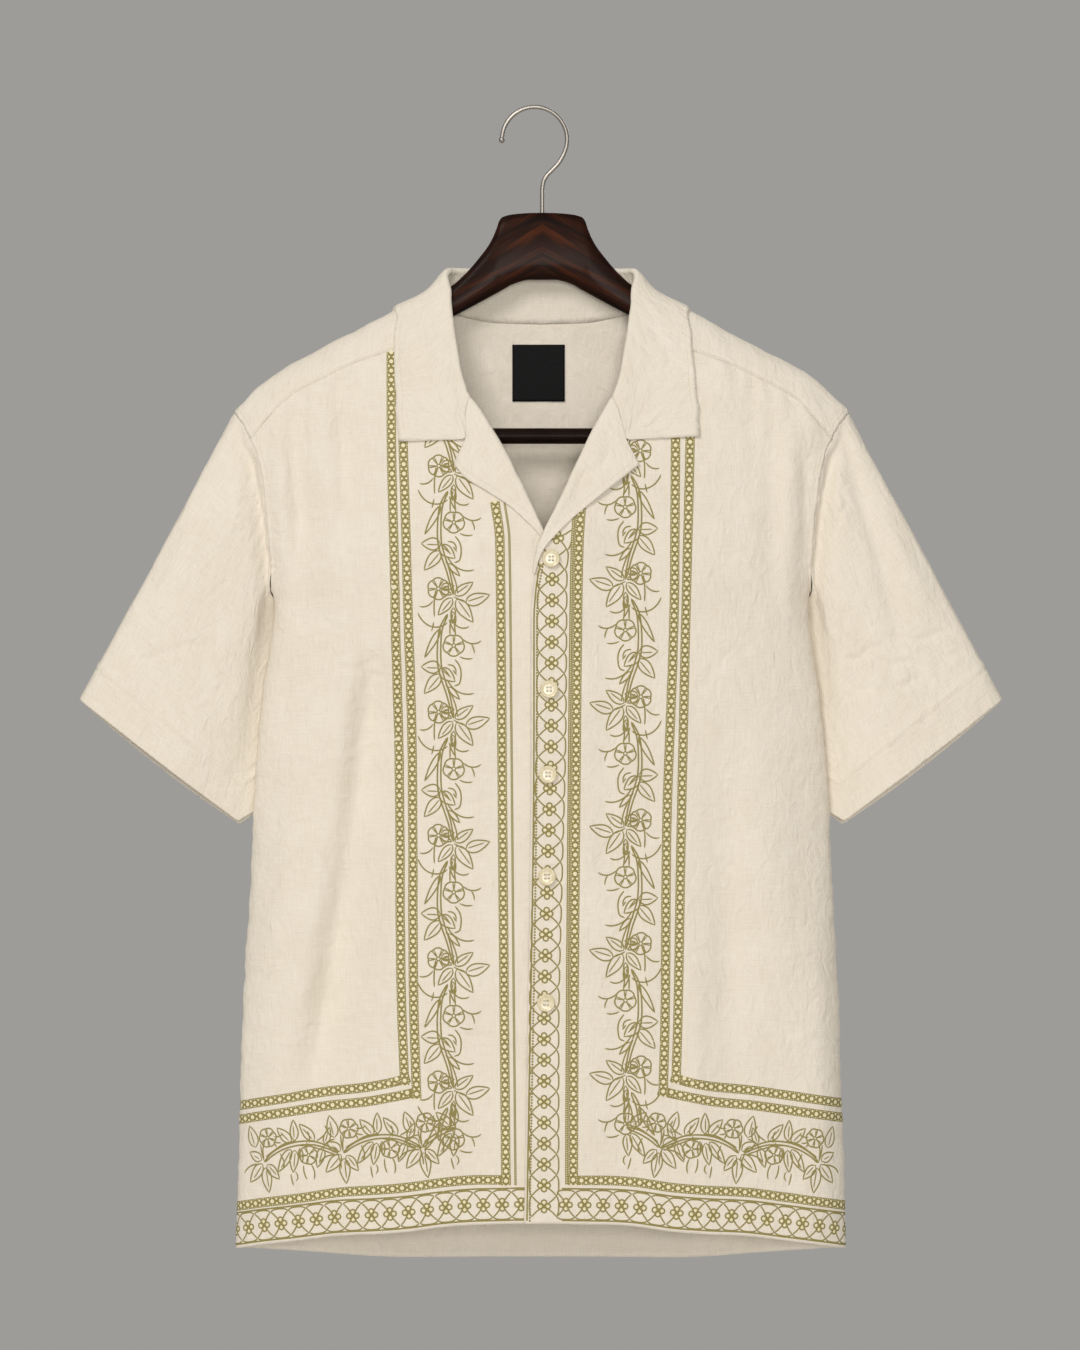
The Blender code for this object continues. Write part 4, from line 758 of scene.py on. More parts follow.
def turnedPiece(name, lines, thickness):
    middle, normal = np.array([line[0] for line in lines]), np.array([line[1] for line in lines])
    thick = np.broadcast_to(thickness[:, None], middle.shape[:2])
    grid = middle + normal * 0.5 * thick[..., None]
    along, across = fromEdge(grid, 0), fromEdge(grid, 1)
    walked = along.mean(axis=1, keepdims=True) + 0 * across
    relief = seamRelief(fromEdge(grid, 1, 1), tailor["edgeStitch"], walked) * thick / tailor["faced"]
    relief = 0.45 * relief - creaseDepth(collarCreases, grid[..., 0], -grid[..., 2])
    grid = crinkle(grid + normal * relief[..., None], normal, 0.8)
    uv = np.stack([0.05 + walked * mm, 0.1 + across * mm], -1)
    return clothPiece(name, grid, normal, uv, thick)


def makeCollar():
    behind, inFront = gridPoints["collar"]
    places = [np.linspace(0.0, 0.45, behind), np.linspace(0.45, 1.0, inFront)[1:]]
    places = np.concatenate(places)
    halves = {}
    for side, column in ((-1, 1), (1, 3)):
        lines = []
        for place in places:
            fold = collarFold(place)
            if place < 1.0:
                along = alongFold(side, collarFold(place - 0.01), collarFold(place + 0.01))
            else:
                along = alongFold(side, collarFold(0.97), lapelFold(side, 0.1))
            if place == 0.0:
                along = np.array([side, 0.0, 0.0])
            seam = neckSeam(place)
            length = np.linalg.norm(bodySurface(*seam) - bodySurface(*fold))
            seam = [mix(a, b, tailor["collarStart"] / length) for a, b in zip(seam, fold)]
            edge = look(collarEdge, column, place), look(collarEdge, column + 1, place)
            path = edgePath(side, fold, edge, ease(place, 0.76, 1.0))
            lines.append(turnedLine(side, seam, fold, along, path, tailor["roll"], 0.0))
        lines[-1] = (lines[-1][0] + along * tailor["lap"], lines[-1][1])
        halves[side] = lines
    lines = halves[-1][::-1] + halves[1][1:]
    return turnedPiece("collarLinen", lines, np.full(len(lines), tailor["faced"]))


def makeLapel(side):
    table = lapelTable[side]
    lines = []
    places = np.arange(0.0, table[0][-1], 0.018)
    for place in places:
        fold = lapelFold(side, place)
        if place > 0:
            along = alongFold(side, lapelFold(side, place - 0.05), lapelFold(side, place + 0.05))
        else:
            along = alongFold(side, collarFold(0.97), lapelFold(side, 0.1))
        reach, drop = look(table, 3, place), look(table, 4, place)
        path = edgePath(side, fold, (frontAngle(reach, drop), drop), 1.0 - ease(place, 0.0, 0.3))
        roll = mix(tailor["roll"], tailor["lapelEndRoll"], ease(place, 0.6, 1.0))
        roll = mix(roll, 0.6, ease(place, 1.0, 1.4))
        lines.append(turnedLine(side, None, fold, along, path, roll, frontLift(side, *fold)))
    thickness = mix(tailor["faced"], tailor["cloth"], ease(places, 1.0, 1.4))
    return turnedPiece(sided("lapel", side), lines, thickness)


# 55/45 linen and cotton, plain-woven from slubby yarn and garment-washed: matt, a soft sheen at
# grazing angles, thick and thin threads in both directions. The real 0.45 mm threads are drawn
# 0.9 mm apart so that they show.
linenLook = {
    "colours": ((0.0, "E1D8C8"), (0.5, "E9E1D3"), (1.0, "EFE8DD")), "patch": 22.0, "thread": 0.9,
    "slubLength": 18.0, "slubWidth": 0.9, "roughness": 0.88, "weave": 0.13, "slub": 0.3,
    "rumple": 1.0, "rumpleSize": 9.0, "wrinkle": 0.22, "wrinkleSize": 34.0}


def weaveHeight(tree, coords, thread):
    # a plain weave: threads one way over, the other way under
    split = addNode(tree, "ShaderNodeSeparateXYZ", None, {0: coords})
    waves = []
    for axis in (0, 1):
        turn = addNode(tree, "ShaderNodeMath", {"operation": "MULTIPLY"},
                       {0: split.outputs[axis], 1: math.pi / (thread * mm)})
        waves.append(addNode(tree, "ShaderNodeMath", {"operation": "SINE"}, {0: turn.outputs[0]}))
    over = addNode(tree, "ShaderNodeMath", {"operation": "MULTIPLY"},
                   {0: waves[0].outputs[0], 1: waves[1].outputs[0]})
    return over.outputs[0]


def slubs(tree, coords, long, wide, along):
    # yarns that thicken and thin, stretched along one direction of the cloth
    scale = [1 / (wide * mm), 1 / (wide * mm), 1]
    scale[along] = 1 / (long * mm)
    place = addNode(tree, "ShaderNodeMapping", None, {"Vector": coords, "Scale": scale})
    return addNode(tree, "ShaderNodeTexNoise", None, {
        "Vector": place.outputs[0], "Scale": 1.0, "Detail": 3.0, "Roughness": 0.6}).outputs[0]


def newMaterial(name):
    material = bpy.data.materials.new(name)
    material.use_nodes = True
    tree = material.node_tree
    return material, tree, tree.nodes["Principled BSDF"]


def dressSurface(tree, shader, uneven, colours, relief):
    # colours at their positions along an uneven value, then layers of fine relief, each one a
    # height, a depth in millimetres and a strength
    ramp = addNode(tree, "ShaderNodeValToRGB", None, {0: uneven})
    stops, (first, *between, last) = ramp.color_ramp.elements, colours
    for stop, (position, colour) in zip(stops, (first, last)):
        stop.position, stop.color = position, hexColour(colour)
    for position, colour in between:
        stops.new(position).color = hexColour(colour)
    tree.links.new(ramp.outputs[0], shader.inputs["Base Color"])
    below = {}
    for height, depth, strength in relief:
        bump = addNode(tree, "ShaderNodeBump", None, {
            "Height": height, "Distance": depth * mm, "Strength": strength, **below})
        below = {"Normal": bump.outputs[0]}
    tree.links.new(below["Normal"], shader.inputs["Normal"])


def clothMaterial(name):
    material, tree, shader = newMaterial(name)
    coords = addNode(tree, "ShaderNodeTexCoord").outputs["UV"]
    warp = slubs(tree, coords, linenLook["slubLength"], linenLook["slubWidth"], 1)
    weft = slubs(tree, coords, linenLook["slubLength"], linenLook["slubWidth"], 0)
    yarns = addNode(tree, "ShaderNodeMath", {"operation": "ADD"}, {0: warp, 1: weft}).outputs[0]
    patch = addNode(tree, "ShaderNodeTexNoise", None, {
        "Vector": coords, "Scale": linenLook["patch"], "Detail": 4.0, "Roughness": 0.65}).outputs[0]
    blend = addNode(tree, "ShaderNodeMath", {"operation": "MULTIPLY_ADD"},
                    {0: patch, 1: 0.7, 2: yarns}).outputs[0]
    spread = addNode(tree, "ShaderNodeMapRange", None, {0: blend, 1: 0.9, 2: 1.8})
    shader.inputs["Roughness"].default_value = linenLook["roughness"]
    shader.inputs["Specular IOR Level"].default_value = 0.25
    shader.inputs["Sheen Weight"].default_value = 0.12
    shader.inputs["Sheen Roughness"].default_value = 0.5
    longer = addNode(tree, "ShaderNodeMapping", None, {
        "Vector": coords, "Scale": (1.0, 0.62, 1.0)}).outputs[0]
    rumple = addNode(tree, "ShaderNodeTexNoise", None, {
        "Vector": longer, "Scale": 1 / (linenLook["rumpleSize"] * mm), "Detail": 3.0,
        "Roughness": 0.55, "Distortion": 0.9})
    wrinkle = addNode(tree, "ShaderNodeTexNoise", {"noise_type": "RIDGED_MULTIFRACTAL"}, {
        "Vector": longer, "Scale": 1 / (linenLook["wrinkleSize"] * mm), "Detail": 2.0,
        "Roughness": 0.5, "Distortion": 1.6})
    dressSurface(tree, shader, spread.outputs[0], linenLook["colours"], (
        (weaveHeight(tree, coords, linenLook["thread"]), 0.3, linenLook["weave"]),
        (yarns, 0.5, linenLook["slub"]), (rumple.outputs[0], 1.5, linenLook["rumple"]),
        (wrinkle.outputs[0], 0.9, linenLook["wrinkle"])))
    return material


linen = clothMaterial("wovenLinenCotton")

cloth = {}
for part in (makeFront(-1), makeFront(1), makeBack(), makeYoke(), makeSleeve(-1), makeSleeve(1),
             makeCollar(), makeLapel(-1), makeLapel(1)):
    cloth[part["piece"].name] = part
    part["piece"].data.materials.append(linen)
print("cloth made")


def plainMesh(name, points, faces, material):
    mesh = bpy.data.meshes.new(name)
    mesh.from_pydata((np.asarray(points, float) * mm).tolist(), [], faces)
    shaped = bmesh.new()
    shaped.from_mesh(mesh)
    bmesh.ops.recalc_face_normals(shaped, faces=shaped.faces)
    shaped.to_mesh(mesh)
    shaped.free()
    mesh.shade_smooth()
    mesh.set_sharp_from_angle(angle=math.radians(40))
    mesh.materials.append(material)
    return addObject(name, mesh)


def ring(centre, across, up, turn):
    # an ellipse of points, from its middle and its two half axes
    return (np.array(centre) + np.cos(turn)[:, None] * np.array(across)
            + np.sin(turn)[:, None] * np.array(up))


def tube(rings):
    # points and faces of a closed body through rings of points
    rows, count = len(rings), len(rings[0])
    faces = [(j * count + k, j * count + (k + 1) % count,
              (j + 1) * count + (k + 1) % count, (j + 1) * count + k)
             for j in range(rows - 1) for k in range(count)]
    faces += [tuple(range(count)), tuple(range((rows - 1) * count, rows * count))]
    return np.concatenate(rings), faces


hanger = {
    "centre": 0.9, "underCloth": 2.8, "atNeck": 6.0, "height": 24.0, "block": 176.0, "step": 0.6,
    "end": 205.0, "blockBottom": 258.0, "armHalf": 5.2, "blockHalf": 5.6, "barDrop": 248.5,
    "barRadius": 6.0, "sides": 48,
    "sections": ((0.0, 175.0, 1.5), (175.4, 176.4, 0.2), (177.5, 205.1, 1.25))}   # from, to, step
hangerRows = (   # reach, top drop, bottom drop, half thickness
    (0, 78.8, 129.8, 7), (10, 79, 129.8, 7), (22, 80, 133, 7),
    (30, 82, 137.4, 7), (32.6, 84.6, 138.8, 7), (34, 89, 139.6, 7),
    (39.5, 101.5, 142.6, 6.9), (48.6, 114, 147.6, 6.7), (58.5, 125.4, 152.9, 6.5),
    (68.4, 134.2, 158.2, 6.3))


def makeHangerBody(material):
    rows = list(hangerRows)
    # the arms under the cloth, then the thicker blocks at their ends
    for reach in (84.0, 100.0, 118.0, 138.0, 158.0, hanger["block"] - hanger["step"]):
        below = mix(hanger["atNeck"], hanger["underCloth"], ease(reach, 76.0, 140.0))
        top = float(ridge(reach) + below)
        rows.append((reach, top, top + hanger["height"], hanger["armHalf"]))
    for reach, rounding in ((hanger["block"], 0.0), (190.0, 1.0), (199.0, 6.0), (hanger["end"], 20.0)):
        top = float(ridge(reach)) + hanger["underCloth"] + 0.25 * rounding
        thick = hanger["blockHalf"] - 0.08 * rounding
        rows.append((reach, top, hanger["blockBottom"] - rounding, thick))
    profile = smoothTable(rows)
    half = np.concatenate([np.arange(*span) for span in hanger["sections"]])
    turn = 2 * np.pi * (np.arange(hanger["sides"]) + 0.5) / hanger["sides"]
    c, s = np.cos(turn), np.sin(turn)
    rings = []
    for reach in np.concatenate([-half[:0:-1], half]):
        top, bottom, thick = (look(profile, k, abs(reach)) for k in (1, 2, 3))
        square = mix(0.7, 1.0, ease(abs(reach), 60.0, 84.0))
        y = thick * np.copysign(np.abs(c) ** square, c)
        z = -0.5 * (top + bottom) + 0.5 * (bottom - top) * np.copysign(np.abs(s) ** square, s)
        rings.append(np.stack([reach + hanger["centre"] + 0 * y, y, z], -1))
    return plainMesh("hangerWood", *tube(rings), material)


def makeHangerBar(material):
    turn = 2 * np.pi * np.arange(32) / 32
    reach, radius = hanger["block"] - hanger["step"], hanger["barRadius"]
    rings = [ring((x, 0, -hanger["barDrop"]), (0, radius, 0), (0, 0, radius), turn)
             for x in np.linspace(hanger["centre"] - reach, hanger["centre"] + reach, 40)]
    return plainMesh("trouserBar", *tube(rings), material)


hook = {
    "centre": (-4.9, 23.1), "radius": 24.7, "wire": 1.7, "sides": 20,
    "ball": ((-4.6, 0.7), (-4.0, 1.7), (-2.6, 2.4), (-1.2, 2.3), (-0.3, 1.8)),
    "neck": ((16.4, 36.0), (12.6, 41.9), (7.8, 46.9), (3.8, 51.3), (1.5, 56.6), (0.9, 63.0),
             (0.9, 90.0))}


def makeHook(material):
    turns = np.radians(np.linspace(176.0, -22.0, 60))
    arc = np.stack([hook["centre"][0] + hook["radius"] * np.cos(turns),
                    -hook["centre"][1] + hook["radius"] * np.sin(turns)], -1)
    neckPath = np.array([(x, -d) for x, d in (tuple(arc[-1] * (1, -1)),) + hook["neck"]])
    t = np.concatenate([[0], np.cumsum(np.hypot(*np.diff(neckPath, axis=0).T))])
    rows = smoothTable(np.column_stack([t, neckPath]).tolist())
    at = np.linspace(0, t[-1], 40)[1:]
    path = np.concatenate([arc, np.stack([look(rows, 1, at), look(rows, 2, at)], -1)])
    along = unit(np.gradient(path, axis=0))
    turn = 2 * np.pi * np.arange(hook["sides"]) / hook["sides"]
    sections = [(path[0] + along[0] * offset, along[0], radius) for offset, radius in hook["ball"]]
    sections += [(point, ahead, hook["wire"]) for point, ahead in zip(path, along)]
    rings = [ring((x, 0, z), (0, radius, 0), (-radius * az, 0, radius * ax), turn)
             for (x, z), (ax, az), radius in sections]
    return plainMesh("hangerHook", *tube(rings), material)


# Walnut, planed and lacquered satin: dark brown with black pores and paler streaks along the arms,
# each arm's grain meeting the other's in a mitre at the middle. Pores about 0.4 mm wide.
walnutLook = {
    "figured": ((0.0, "0A0402"), (0.55, "270F05"), (1.0, "4E240A")),
    "plain": ((0.0, "0A0402"), (0.55, "1A0C06"), (1.0, "1A0C06")),
    "slope": 29.0, "long": 90.0, "streak": 7.5, "pore": 0.8}


def walnutMaterial(name, colours):
    material, tree, shader = newMaterial(name)
    coords = addNode(tree, "ShaderNodeTexCoord").outputs["Object"]
    split = addNode(tree, "ShaderNodeSeparateXYZ", None, {0: coords})
    offset = addNode(tree, "ShaderNodeMath", {"operation": "SUBTRACT"},
                     {0: split.outputs[0], 1: hanger["centre"] * mm})
    mirrored = addNode(tree, "ShaderNodeMath", {"operation": "ABSOLUTE"}, {0: offset.outputs[0]})
    joined = addNode(tree, "ShaderNodeCombineXYZ", None,
                     {0: mirrored.outputs[0], 1: split.outputs[1], 2: split.outputs[2]})
    turned = addNode(tree, "ShaderNodeMapping", None, {
        "Vector": joined.outputs[0], "Rotation": (0, -math.radians(walnutLook["slope"]), 0)})
    grains = []
    for long, wide, detail in ((walnutLook["long"], walnutLook["streak"], 6.0),
                               (0.6 * walnutLook["long"], walnutLook["pore"], 2.0)):
        stretched = addNode(tree, "ShaderNodeMapping", None, {
            "Vector": turned.outputs[0], "Scale": (1 / (long * mm), 1 / (wide * mm), 1 / (wide * mm))})
        grains.append(addNode(tree, "ShaderNodeTexNoise", None, {
            "Vector": stretched.outputs[0], "Scale": 1.0, "Detail": detail, "Roughness": 0.6,
            "Distortion": 0.4}).outputs[0])
    both = addNode(tree, "ShaderNodeMath", {"operation": "MULTIPLY_ADD"},
                   {0: grains[1], 1: 0.3, 2: grains[0]})
    spread = addNode(tree, "ShaderNodeMapRange", None, {0: both.outputs[0], 1: 0.42, 2: 0.9})
    dressSurface(tree, shader, spread.outputs[0], colours, [(grains[1], 0.15, 0.35)])
    gloss = addNode(tree, "ShaderNodeMapRange", None, {
        0: grains[1], 1: 0.3, 2: 0.7, 3: 0.62, 4: 0.46})
    tree.links.new(gloss.outputs[0], shader.inputs["Roughness"])
    shader.inputs["Specular IOR Level"].default_value = 0.08
    shader.inputs["Coat Weight"].default_value = 0.03
    shader.inputs["Coat Roughness"].default_value = 0.15
    return material


def steelMaterial():
    # nickel-plated steel wire, drawn and tumbled: bright, with faint lines along the wire
    material, tree, shader = newMaterial("platedSteelWire")
    coords = addNode(tree, "ShaderNodeTexCoord").outputs["Object"]
    stretched = addNode(tree, "ShaderNodeMapping", None, {"Vector": coords, "Scale": (500, 500, 120)})
    drawn = addNode(tree, "ShaderNodeTexNoise", None, {
        "Vector": stretched.outputs[0], "Scale": 1.0, "Detail": 3.0}).outputs[0]
    shader.inputs["Base Color"].default_value = hexColour("A39E98")
    shader.inputs["Metallic"].default_value = 1.0
    gloss = addNode(tree, "ShaderNodeMapRange", None, {0: drawn, 1: 0.3, 2: 0.7, 3: 0.36, 4: 0.42})
    tree.links.new(gloss.outputs[0], shader.inputs["Roughness"])
    bump = addNode(tree, "ShaderNodeBump", None, {
        "Height": drawn, "Distance": 0.02 * mm, "Strength": 0.01})
    tree.links.new(bump.outputs[0], shader.inputs["Normal"])
    return material


walnut = walnutMaterial("lacqueredWalnut", walnutLook["figured"])
dowel = walnutMaterial("darkWalnutDowel", walnutLook["plain"])
steel = steelMaterial()
woodPieces = [makeHangerBody(walnut), makeHangerBar(dowel)]
hookPiece = makeHook(steel)
print("hanger made")


buttons = {
    "places": ((7.5, 343.3), (6.0, 440.6), (5.2, 504.3), (4.5, 580.6), (3.7, 675.0)),
    "radius": 6.65, "thickness": 3.0, "hole": 0.9, "spacing": 1.75, "sides": 48,
    "profile": ((0.0, 0.0), (0.72, 0.0), (0.94, 0.22), (0.99, 0.42), (1.0, 0.58), (0.98, 0.78),
                (0.93, 0.93), (0.87, 1.0), (0.81, 0.97), (0.75, 0.87), (0.66, 0.81), (0.5, 0.79),
                (0.0, 0.79))}


def joinPieces(name, pieces):
    # several meshes as one, with their materials
    shaped = bmesh.new()
    materials = []
    for piece in pieces:
        start = len(shaped.faces)
        shaped.from_mesh(piece.data)
        shaped.faces.ensure_lookup_table()
        if piece.data.materials[0] not in materials:
            materials.append(piece.data.materials[0])
        for face in shaped.faces[start:]:
            face.material_index = materials.index(piece.data.materials[0])
        bpy.data.objects.remove(piece)
    mesh = bpy.data.meshes.new(name)
    shaped.to_mesh(mesh)
    shaped.free()
    for material in materials:
        mesh.materials.append(material)
    return addObject(name, mesh)


def buttonSeat(x, drop):
    angle = frontAngle(x, drop)
    lift = frontLift(1, angle, drop) + tailor["layer"]
    return bodySurface(angle, drop) + outward(angle, drop) * lift


def makeButton(number, x, drop, resin):
    seat, rows = buttonSeat(x, drop), buttons["profile"][1:-1]
    sides, radius = buttons["sides"], buttons["radius"]
    turn = 2 * np.pi * np.arange(sides) / sides
    points, faces = [(0.0, 0.0, 0.0)], []
    for reach, height in rows:
        points += [(reach * radius * math.cos(a), -height * buttons["thickness"],
                    reach * radius * math.sin(a)) for a in turn]
    points.append((0.0, -buttons["profile"][-1][1] * buttons["thickness"], 0.0))
    for row in range(len(rows) - 1):
        for k in range(sides):
            a, b = 1 + row * sides + k, 1 + row * sides + (k + 1) % sides
            faces.append((a, b, b + sides, a + sides))
    last = len(points) - 1
    faces += [(0, 1 + (k + 1) % sides, 1 + k) for k in range(sides)]
    faces += [(last, last - sides + k, last - sides + (k + 1) % sides) for k in range(sides)]
    piece = plainMesh(f"button{number}", np.array(points) + seat, faces, resin)
    cutters, hole = [], buttons["hole"]
    for k in range(4):
        a = math.radians(45 + 90 * k)
        centre = seat + np.array([math.cos(a), 0.0, math.sin(a)]) * buttons["spacing"]
        rings = [ring(centre + (0, depth, 0), (hole, 0, 0), (0, 0, hole), turn[::3])
                 for depth in (-6.0, 3.0)]
        cutters.append(plainMesh("holeCutter", *tube(rings), resin))
    cutter = joinPieces("holeCutters", cutters)
    bore = piece.modifiers.new("holes", "BOOLEAN")
    bore.object = cutter
    mesh = bpy.data.meshes.new_from_object(piece.evaluated_get(bpy.context.evaluated_depsgraph_get()))
    piece.modifiers.remove(bore)
    piece.data = mesh
    bpy.data.objects.remove(cutter)
    mesh.set_sharp_from_angle(angle=math.radians(40))
    return piece


def resinMaterial():
    # polyester resin button blank, turned and polished: cream, slightly clouded, glossy
    material, tree, shader = newMaterial("polishedButtonResin")
    coords = addNode(tree, "ShaderNodeTexCoord").outputs["Object"]
    cloud = addNode(tree, "ShaderNodeTexNoise", None, {
        "Vector": coords, "Scale": 260.0, "Detail": 4.0, "Distortion": 1.2}).outputs[0]
    colours = ((0.35, "DDD1AE"), (0.7, "EFE6CB"))
    dressSurface(tree, shader, cloud, colours, [(cloud, 0.05, 0.1)])
    shader.inputs["Roughness"].default_value = 0.25
    shader.inputs["IOR"].default_value = 1.54
    shader.inputs["Subsurface Weight"].default_value = 0.25
    shader.inputs["Subsurface Radius"].default_value = (0.002, 0.0016, 0.001)
    shader.inputs["Subsurface Scale"].default_value = 1.0
    return material


def threadMaterial():
    # spun polyester sewing thread, cream, matt, with its twist across it
    material, tree, shader = newMaterial("spunSewingThread")
    coords = addNode(tree, "ShaderNodeTexCoord").outputs["Object"]
    twist = addNode(tree, "ShaderNodeTexNoise", None, {
        "Vector": coords, "Scale": 2400.0, "Detail": 2.0}).outputs[0]
    colours = ((0.0, "DDD3BF"), (1.0, "F0E9DB"))
    dressSurface(tree, shader, twist, colours, [(twist, 0.1, 0.3)])
    shader.inputs["Roughness"].default_value = 0.75
    return material


strand = ((-1.0, 0.0, 0.45), (-0.96, 0.7, 0.55), (-0.6, 1.05, 0.6),   # along, height, radius
          (0.6, 1.05, 0.6), (0.96, 0.7, 0.55), (1.0, 0.0, 0.45))


def makeThreads(material):
    # two strands on each button, from hole to hole, let down into the holes at their ends
    strands = []
    turn = 2 * np.pi * np.arange(8) / 8
    apart = buttons["spacing"] / math.sqrt(2)
    top = buttons["profile"][-1][1] * buttons["thickness"]
    for x, drop in buttons["places"]:
        seat = buttonSeat(x, drop)
        for side in (-1, 1):
            rings = [ring(seat + (side * apart, 0.9 - top - 1.1 * height, along * apart * 1.1),
                          (radius, 0, 0), (0, 0.3 * radius, 0.5 * radius), turn)
                     for along, height, radius in strand]
            strands.append(plainMesh("strand", *tube(rings), material))
    return joinPieces("buttonThreads", strands)


resin = resinMaterial()
thread = threadMaterial()
buttonPieces = [makeButton(k, x, drop, resin) for k, (x, drop) in enumerate(buttons["places"], 1)]
buttonThreads = makeThreads(thread)
print("buttons made")


labelSize = {
    "centre": -1.9, "half": 20.1, "top": 177.0, "bottom": 220.5, "thickness": 0.8, "inset": 2.0,
    "bulge": 0.25, "rows": 24}


def labelMaterial():
    # damask-woven polyester satin with heat-cut edges: black, a soft sheen across fine weft lines
    material, tree, shader = newMaterial("satinWovenLabel")
    coords = addNode(tree, "ShaderNodeTexCoord").outputs["UV"]
    weave = weaveHeight(tree, coords, 0.6)
    lines = slubs(tree, coords, 9.0, 0.5, 0)
    colours = ((0.3, "060607"), (0.75, "131315"))
    dressSurface(tree, shader, lines, colours, [(weave, 0.15, 0.3)])
    shader.inputs["Roughness"].default_value = 0.6
    shader.inputs["Specular IOR Level"].default_value = 0.12
    shader.inputs["Sheen Weight"].default_value = 0.02
    return material


def makeLabel():
    t = np.linspace(0.0, 1.0, labelSize["rows"])[:, None]
    s = np.linspace(-1.0, 1.0, labelSize["rows"])[None, :]
    drop = mix(labelSize["top"], labelSize["bottom"], t) + 0 * s
    x = labelSize["centre"] + labelSize["half"] * s + 0 * t
    angle = 180.0 - frontAngle(x, drop)
    normal = outward(angle, drop)
    lift = labelSize["bulge"] * (1 - s ** 4) * (1 - (2 * t - 1) ** 4)
    grid = bodySurface(angle, drop) - normal * (labelSize["inset"] + lift)[..., None]
    uv = np.stack([0.5 - x * mm, 0.5 - drop * mm], -1)
    return clothPiece("neckLabel", grid, -normal, uv, np.full(x.shape, labelSize["thickness"]))


labelPart = makeLabel()
labelPart["piece"].data.materials.append(labelMaterial())
print("label made")

# Screen print: olive lines about 1 mm wide, drawn flat in the cloth's own pattern, with pale
# yellow dots, and laid on the fronts. Every size is in millimetres. once: a pitch longer than the
# path, for a motif that is set there a single time.
printLook = {
    "olive": "9F9460", "oliveDark": "857B48", "pale": "F3ECD0", "paleDark": "E4DBB4", "line": 1.2,
    "thin": 1.07, "step": 1.9, "lift": 0.09, "dome": 0.08, "leafLong": 1.12, "leafWide": 1.2,
    "chainPitch": 7.1, "placketPitch": 15.6, "hemPitch": 13.9,
    "vinePitch": 92.4, "hemVinePitch": 60.0, "vineHeight": 63.0, "hemMiddle": 14.6,
    "hemLines": (2.9, 26.7), "hemEnd": 228.0, "chainWidth": 7.0, "once": 500.0}


def newDrawing():
    return {"points": [], "faces": []}


def smoothThrough(points, step):
    # a curve through a few given points
    points = np.array(points, float)
    ends = np.concatenate([[2 * points[0] - points[1]], points, [2 * points[-1] - points[-2]]])
    line = [points[:1]]
    for a, b, c, d in zip(ends, ends[1:], ends[2:], ends[3:]):
        t = np.linspace(0, 1, max(1, math.ceil(np.linalg.norm(c - b) / step)) + 1)[1:, None]
        line.append(0.5 * (2 * b + (c - a) * t + (2 * a - 5 * b + 4 * c - d) * t ** 2
                           + (3 * b - a - 3 * c + d) * t ** 3))
    return np.concatenate(line)


def addLine(drawing, line, width, closed=False):
    # a stroke with a raised middle and, unless it closes, narrowed ends
    line = np.asarray(line, float)
    if closed:
        along = unit(np.roll(line, -1, axis=0) - np.roll(line, 1, axis=0))
    else:
        along = unit(np.gradient(line, axis=0))
    side = np.stack([-along[:, 1], along[:, 0]], -1)
    half = np.full(len(line), 0.5 * width)
    if not closed:
        half[[0, -1]] *= 0.5
    start, count = len(drawing["points"]), len(line)
    for point, out, reach in zip(line, side, half):
        for offset, height in ((-1, 0.0), (0, printLook["dome"]), (1, 0.0)):
            drawing["points"].append((*(point + out * reach * offset), height))
    for k in range(count if closed else count - 1):
        a, b = start + 3 * k, start + 3 * ((k + 1) % count)
        drawing["faces"] += [(a, b, b + 1, a + 1), (a + 1, b + 1, b + 2, a + 2)]


def addDot(drawing, centre, radius, sides=6):
    start, (x, y) = len(drawing["points"]), centre
    drawing["points"].append((x, y, printLook["dome"]))
    for k in range(sides):
        turn = 2 * math.pi * (k + 0.5) / sides
        drawing["points"].append((x + radius * math.cos(turn), y + radius * math.sin(turn), 0.0))
    drawing["faces"] += [(start, start + 1 + k, start + 1 + (k + 1) % sides) for k in range(sides)]


def circle(centre, radius, step):
    turn = np.linspace(0, 2 * np.pi, max(7, round(2 * np.pi * radius / step)), endpoint=False)
    return np.stack([centre[0] + radius * np.cos(turn), centre[1] + radius * np.sin(turn)], -1)


def headed(base, heading, length):
    turn = math.radians(heading)
    return np.array([base[0] + length * math.cos(turn), base[1] + length * math.sin(turn)])


def addLeaf(drawing, base, heading, length, half):
    # an outline that swells to its belly and comes to a point, with a short midrib if it is wide
    along, across = headed((0, 0), heading, 1.0), headed((0, 0), heading + 90, 1.0)
    length, half = length * printLook["leafLong"], half * printLook["leafWide"]
    t = np.linspace(0, 1, max(6, round(length / 1.9)))
    belly = np.sin(np.pi * t ** 0.8) ** 0.85 * (1 - 0.25 * t)
    spine = np.array(base) + along * (length * t)[:, None]
    for sign in (-1, 1):
        addLine(drawing, spine + across * (sign * half * belly)[:, None], printLook["thin"])
    if half > 2.8:
        addLine(drawing, spine[1:-2] + across * 0.1 * half, 0.85 * printLook["thin"])


def addTendril(drawing, base, heading, length, bend):
    # a thread that curls more and more towards its tip
    t = np.linspace(0, 1, max(4, round(length / printLook["step"])))
    turn = np.radians(heading + bend * t ** 1.3)
    steps = np.stack([np.cos(turn), np.sin(turn)], -1) * length / (len(t) - 1)
    addLine(drawing, np.array(base) + np.cumsum(steps, axis=0) - steps[0], printLook["thin"])


